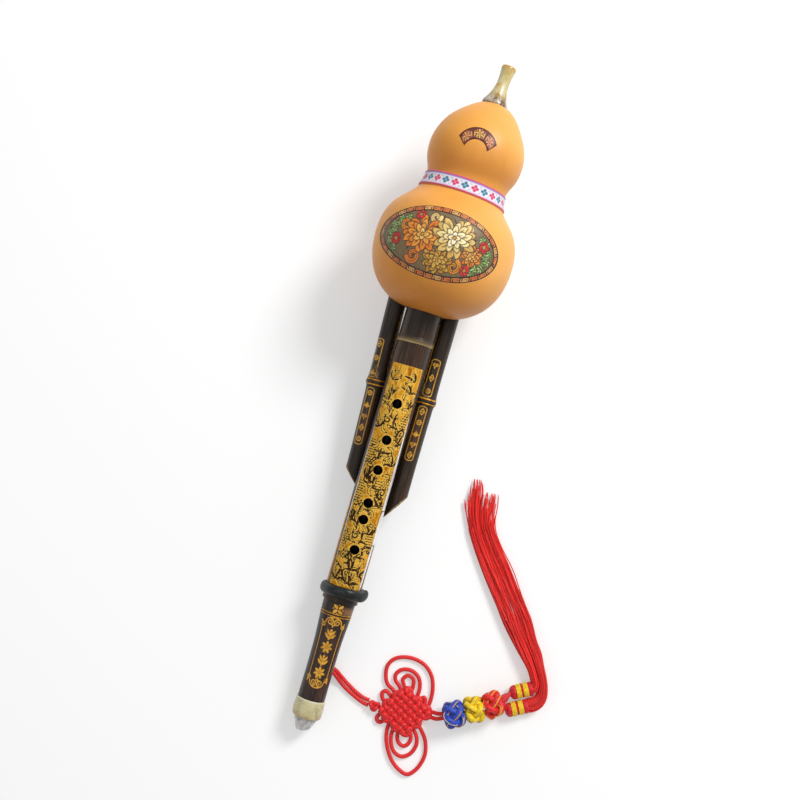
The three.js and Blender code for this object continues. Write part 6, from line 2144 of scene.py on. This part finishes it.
class HULUSI_OT_stage(bpy.types.Operator):
    """The pale floor, the soft lamps, the world and the camera"""
    bl_idname = "hulusi.stage"
    bl_label = "Stage"

    def execute(self, context):
        settings = context.scene.hulusi_stage
        scene = context.scene
        scene.view_settings.view_transform = "Standard"

        mesh = bpy.data.meshes.new("floor")
        corners = [(x * FLOOR_REACH, y * FLOOR_REACH, FLOOR_LEVEL)
                   for x, y in ((-1, -1), (1, -1), (1, 1), (-1, 1))]
        mesh.from_pydata(corners, [], [(0, 1, 2, 3)])
        floor = placed("floor", mesh)
        paper = Finish("floor_paper", Base_Color=(0.66, 0.66, 0.66, 1), Roughness=0.9, Specular_IOR_Level=0.1)
        paper.shader.inputs["Emission Color"].default_value = (1, 1, 1, 1)
        camera_ray, glossy_ray, transmission_ray = (
            paper.root.add("ShaderNodeLightPath", output=f"Is {kind} Ray")
            for kind in ("Camera", "Glossy", "Transmission"))
        direct = paper.root.math("MINIMUM", camera_ray + glossy_ray + transmission_ray, 1.0)
        paper.feed("Emission Strength", direct * settings.paper_glow)
        mesh.materials.append(paper.material)
        floor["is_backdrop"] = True

        world = bpy.data.worlds.new("studio")
        scene.world = world
        world.use_nodes = True
        background = world.node_tree.nodes["Background"]
        background.inputs["Color"].default_value = (1, 1, 1, 1)
        background.inputs["Strength"].default_value = settings.sky

        for name, share, place, size in LAMPS:
            lamp = bpy.data.lights.new(name, "AREA")
            lamp.shape = "DISK"
            lamp.size = size
            away = Vector(place) - Vector(LIGHT_AIM)
            lamp.energy = math.pi ** 2 * getattr(settings, share) * away.length_squared
            turn = away.to_track_quat("Z", "Y").to_matrix().to_4x4()
            placed(name, lamp).matrix_world = Matrix.Translation(place) @ turn

        camera = bpy.data.cameras.new("camera")
        camera.sensor_fit = "HORIZONTAL"
        camera.angle = settings.view_angle
        camera.clip_end = 20
        scene.camera = placed("camera", camera)
        turn = Matrix.Rotation(CAMERA_ROLL, 3, "Z")
        pose = (INSTRUMENT.to_3x3().normalized() @ turn).to_4x4()
        scene.camera.matrix_world = Matrix.Translation(INSTRUMENT @ Vector(CAMERA_PLACE)) @ pose
        return {"FINISHED"}


# Settings, panel and registration

def length_setting(name, description, default):
    return bpy.props.FloatProperty(name=name, description=description, default=default, min=0.0001,
                                   unit="LENGTH", precision=5)


def share_setting(name, description, default):
    return bpy.props.FloatProperty(name=name, description=description, default=default, min=0, max=1,
                                   subtype="FACTOR")


def colour_setting(name, description, *default):
    return bpy.props.FloatVectorProperty(name=name, description=description, default=linear(*default),
                                         subtype="COLOR", size=3, min=0, max=2)


class HulusiSizes(bpy.types.PropertyGroup):
    """Sizes of the cord and the tassels"""
    cord: length_setting("Cord thickness", "Thickness of the red cord", 0.0026)
    thread: length_setting("Thread thickness", "Thickness of one tassel thread", 0.00078)
    threads: bpy.props.IntProperty(name="Threads", description="Threads in each tassel", default=84, min=12,
                                   max=140)


class HulusiColours(bpy.types.PropertyGroup):
    """Colours of the finishes"""
    gourd: colour_setting("Gourd", "Golden rind of the gourd", 239, 162, 67)
    bamboo: colour_setting("Bamboo", "Smoked bamboo of the pipes", 46, 34, 24)
    tail: colour_setting("Tail", "Plum-brown bamboo of the tail joint", 41, 30, 26)
    gold: colour_setting("Gold", "Gold of the panel and frames", 214, 148, 26)
    horn: colour_setting("Horn", "Cream horn", 204, 194, 148)
    cord: colour_setting("Cord", "Red cord", 252, 40, 42)
    crimson: colour_setting("Crimson", "Darker red of the tassel heads", 226, 26, 38)
    tassel: colour_setting("Tassel", "Red of the tassel threads", 255, 52, 46)
    blue: colour_setting("Blue", "Blue button knot", 50, 84, 204)
    yellow: colour_setting("Yellow", "Yellow button knot and bands", 255, 220, 24)


class HulusiStage(bpy.types.PropertyGroup):
    """Light and camera"""
    sky: share_setting("Sky", "Light from the whole sky, where 1 is white", 0.47)
    key: share_setting("Key lamp", "The key lamp's share of full light", 0.78)
    fill: share_setting("Fill lamp", "The fill lamp's share of full light", 0.05)
    paper_glow: share_setting("Paper glow", "Glow that brings the lit floor up to white", 0.38)
    view_angle: bpy.props.FloatProperty(name="View angle", description="The camera's angle of view across",
                                        default=35.28 * DEGREE, subtype="ANGLE")


OPERATORS = (
    HULUSI_OT_stage, HULUSI_OT_strands, HULUSI_OT_ears, HULUSI_OT_knot, HULUSI_OT_buttons, HULUSI_OT_heads,
    HULUSI_OT_skirts, HULUSI_OT_gourd, HULUSI_OT_melody_pipe, HULUSI_OT_gold_panel, HULUSI_OT_drones,
    HULUSI_OT_tail, HULUSI_OT_collar, HULUSI_OT_mouthpiece, HULUSI_OT_ribbon, HULUSI_OT_pictures,
    HULUSI_OT_inner_parts,
)


class HULUSI_PT_pieces(bpy.types.Panel):
    """The pieces of the hulusi, one button each, and their settings"""
    bl_idname = "HULUSI_PT_pieces"
    bl_label = "Hulusi"
    bl_space_type = "VIEW_3D"
    bl_region_type = "UI"
    bl_category = "Hulusi"

    def draw(self, context):
        column = self.layout.column()
        for operator in OPERATORS:
            column.operator(operator.bl_idname)
        for group in (context.scene.hulusi_sizes, context.scene.hulusi_colours, context.scene.hulusi_stage):
            for name in group.__annotations__:
                column.prop(group, name)


GROUPS = {"hulusi_sizes": HulusiSizes, "hulusi_colours": HulusiColours, "hulusi_stage": HulusiStage}


def register():
    for name, group in GROUPS.items():
        bpy.utils.register_class(group)
        setattr(bpy.types.Scene, name, bpy.props.PointerProperty(type=group))
    for item in (*OPERATORS, HULUSI_PT_pieces):
        bpy.utils.register_class(item)


def unregister():
    for item in reversed((*OPERATORS, HULUSI_PT_pieces)):
        bpy.utils.unregister_class(item)
    for name, group in GROUPS.items():
        delattr(bpy.types.Scene, name)
        bpy.utils.unregister_class(group)


def plain(corners):
    return [[float(part) for part in corner] for corner in corners]


def main():
    packed = plain(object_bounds())
    register()
    for operator in OPERATORS:
        group, action = operator.bl_idname.split(".")
        getattr(getattr(bpy.ops, group), action)()
    {"packed": packed, "dressed": plain(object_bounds())}


if __name__ == "__main__":
    main()
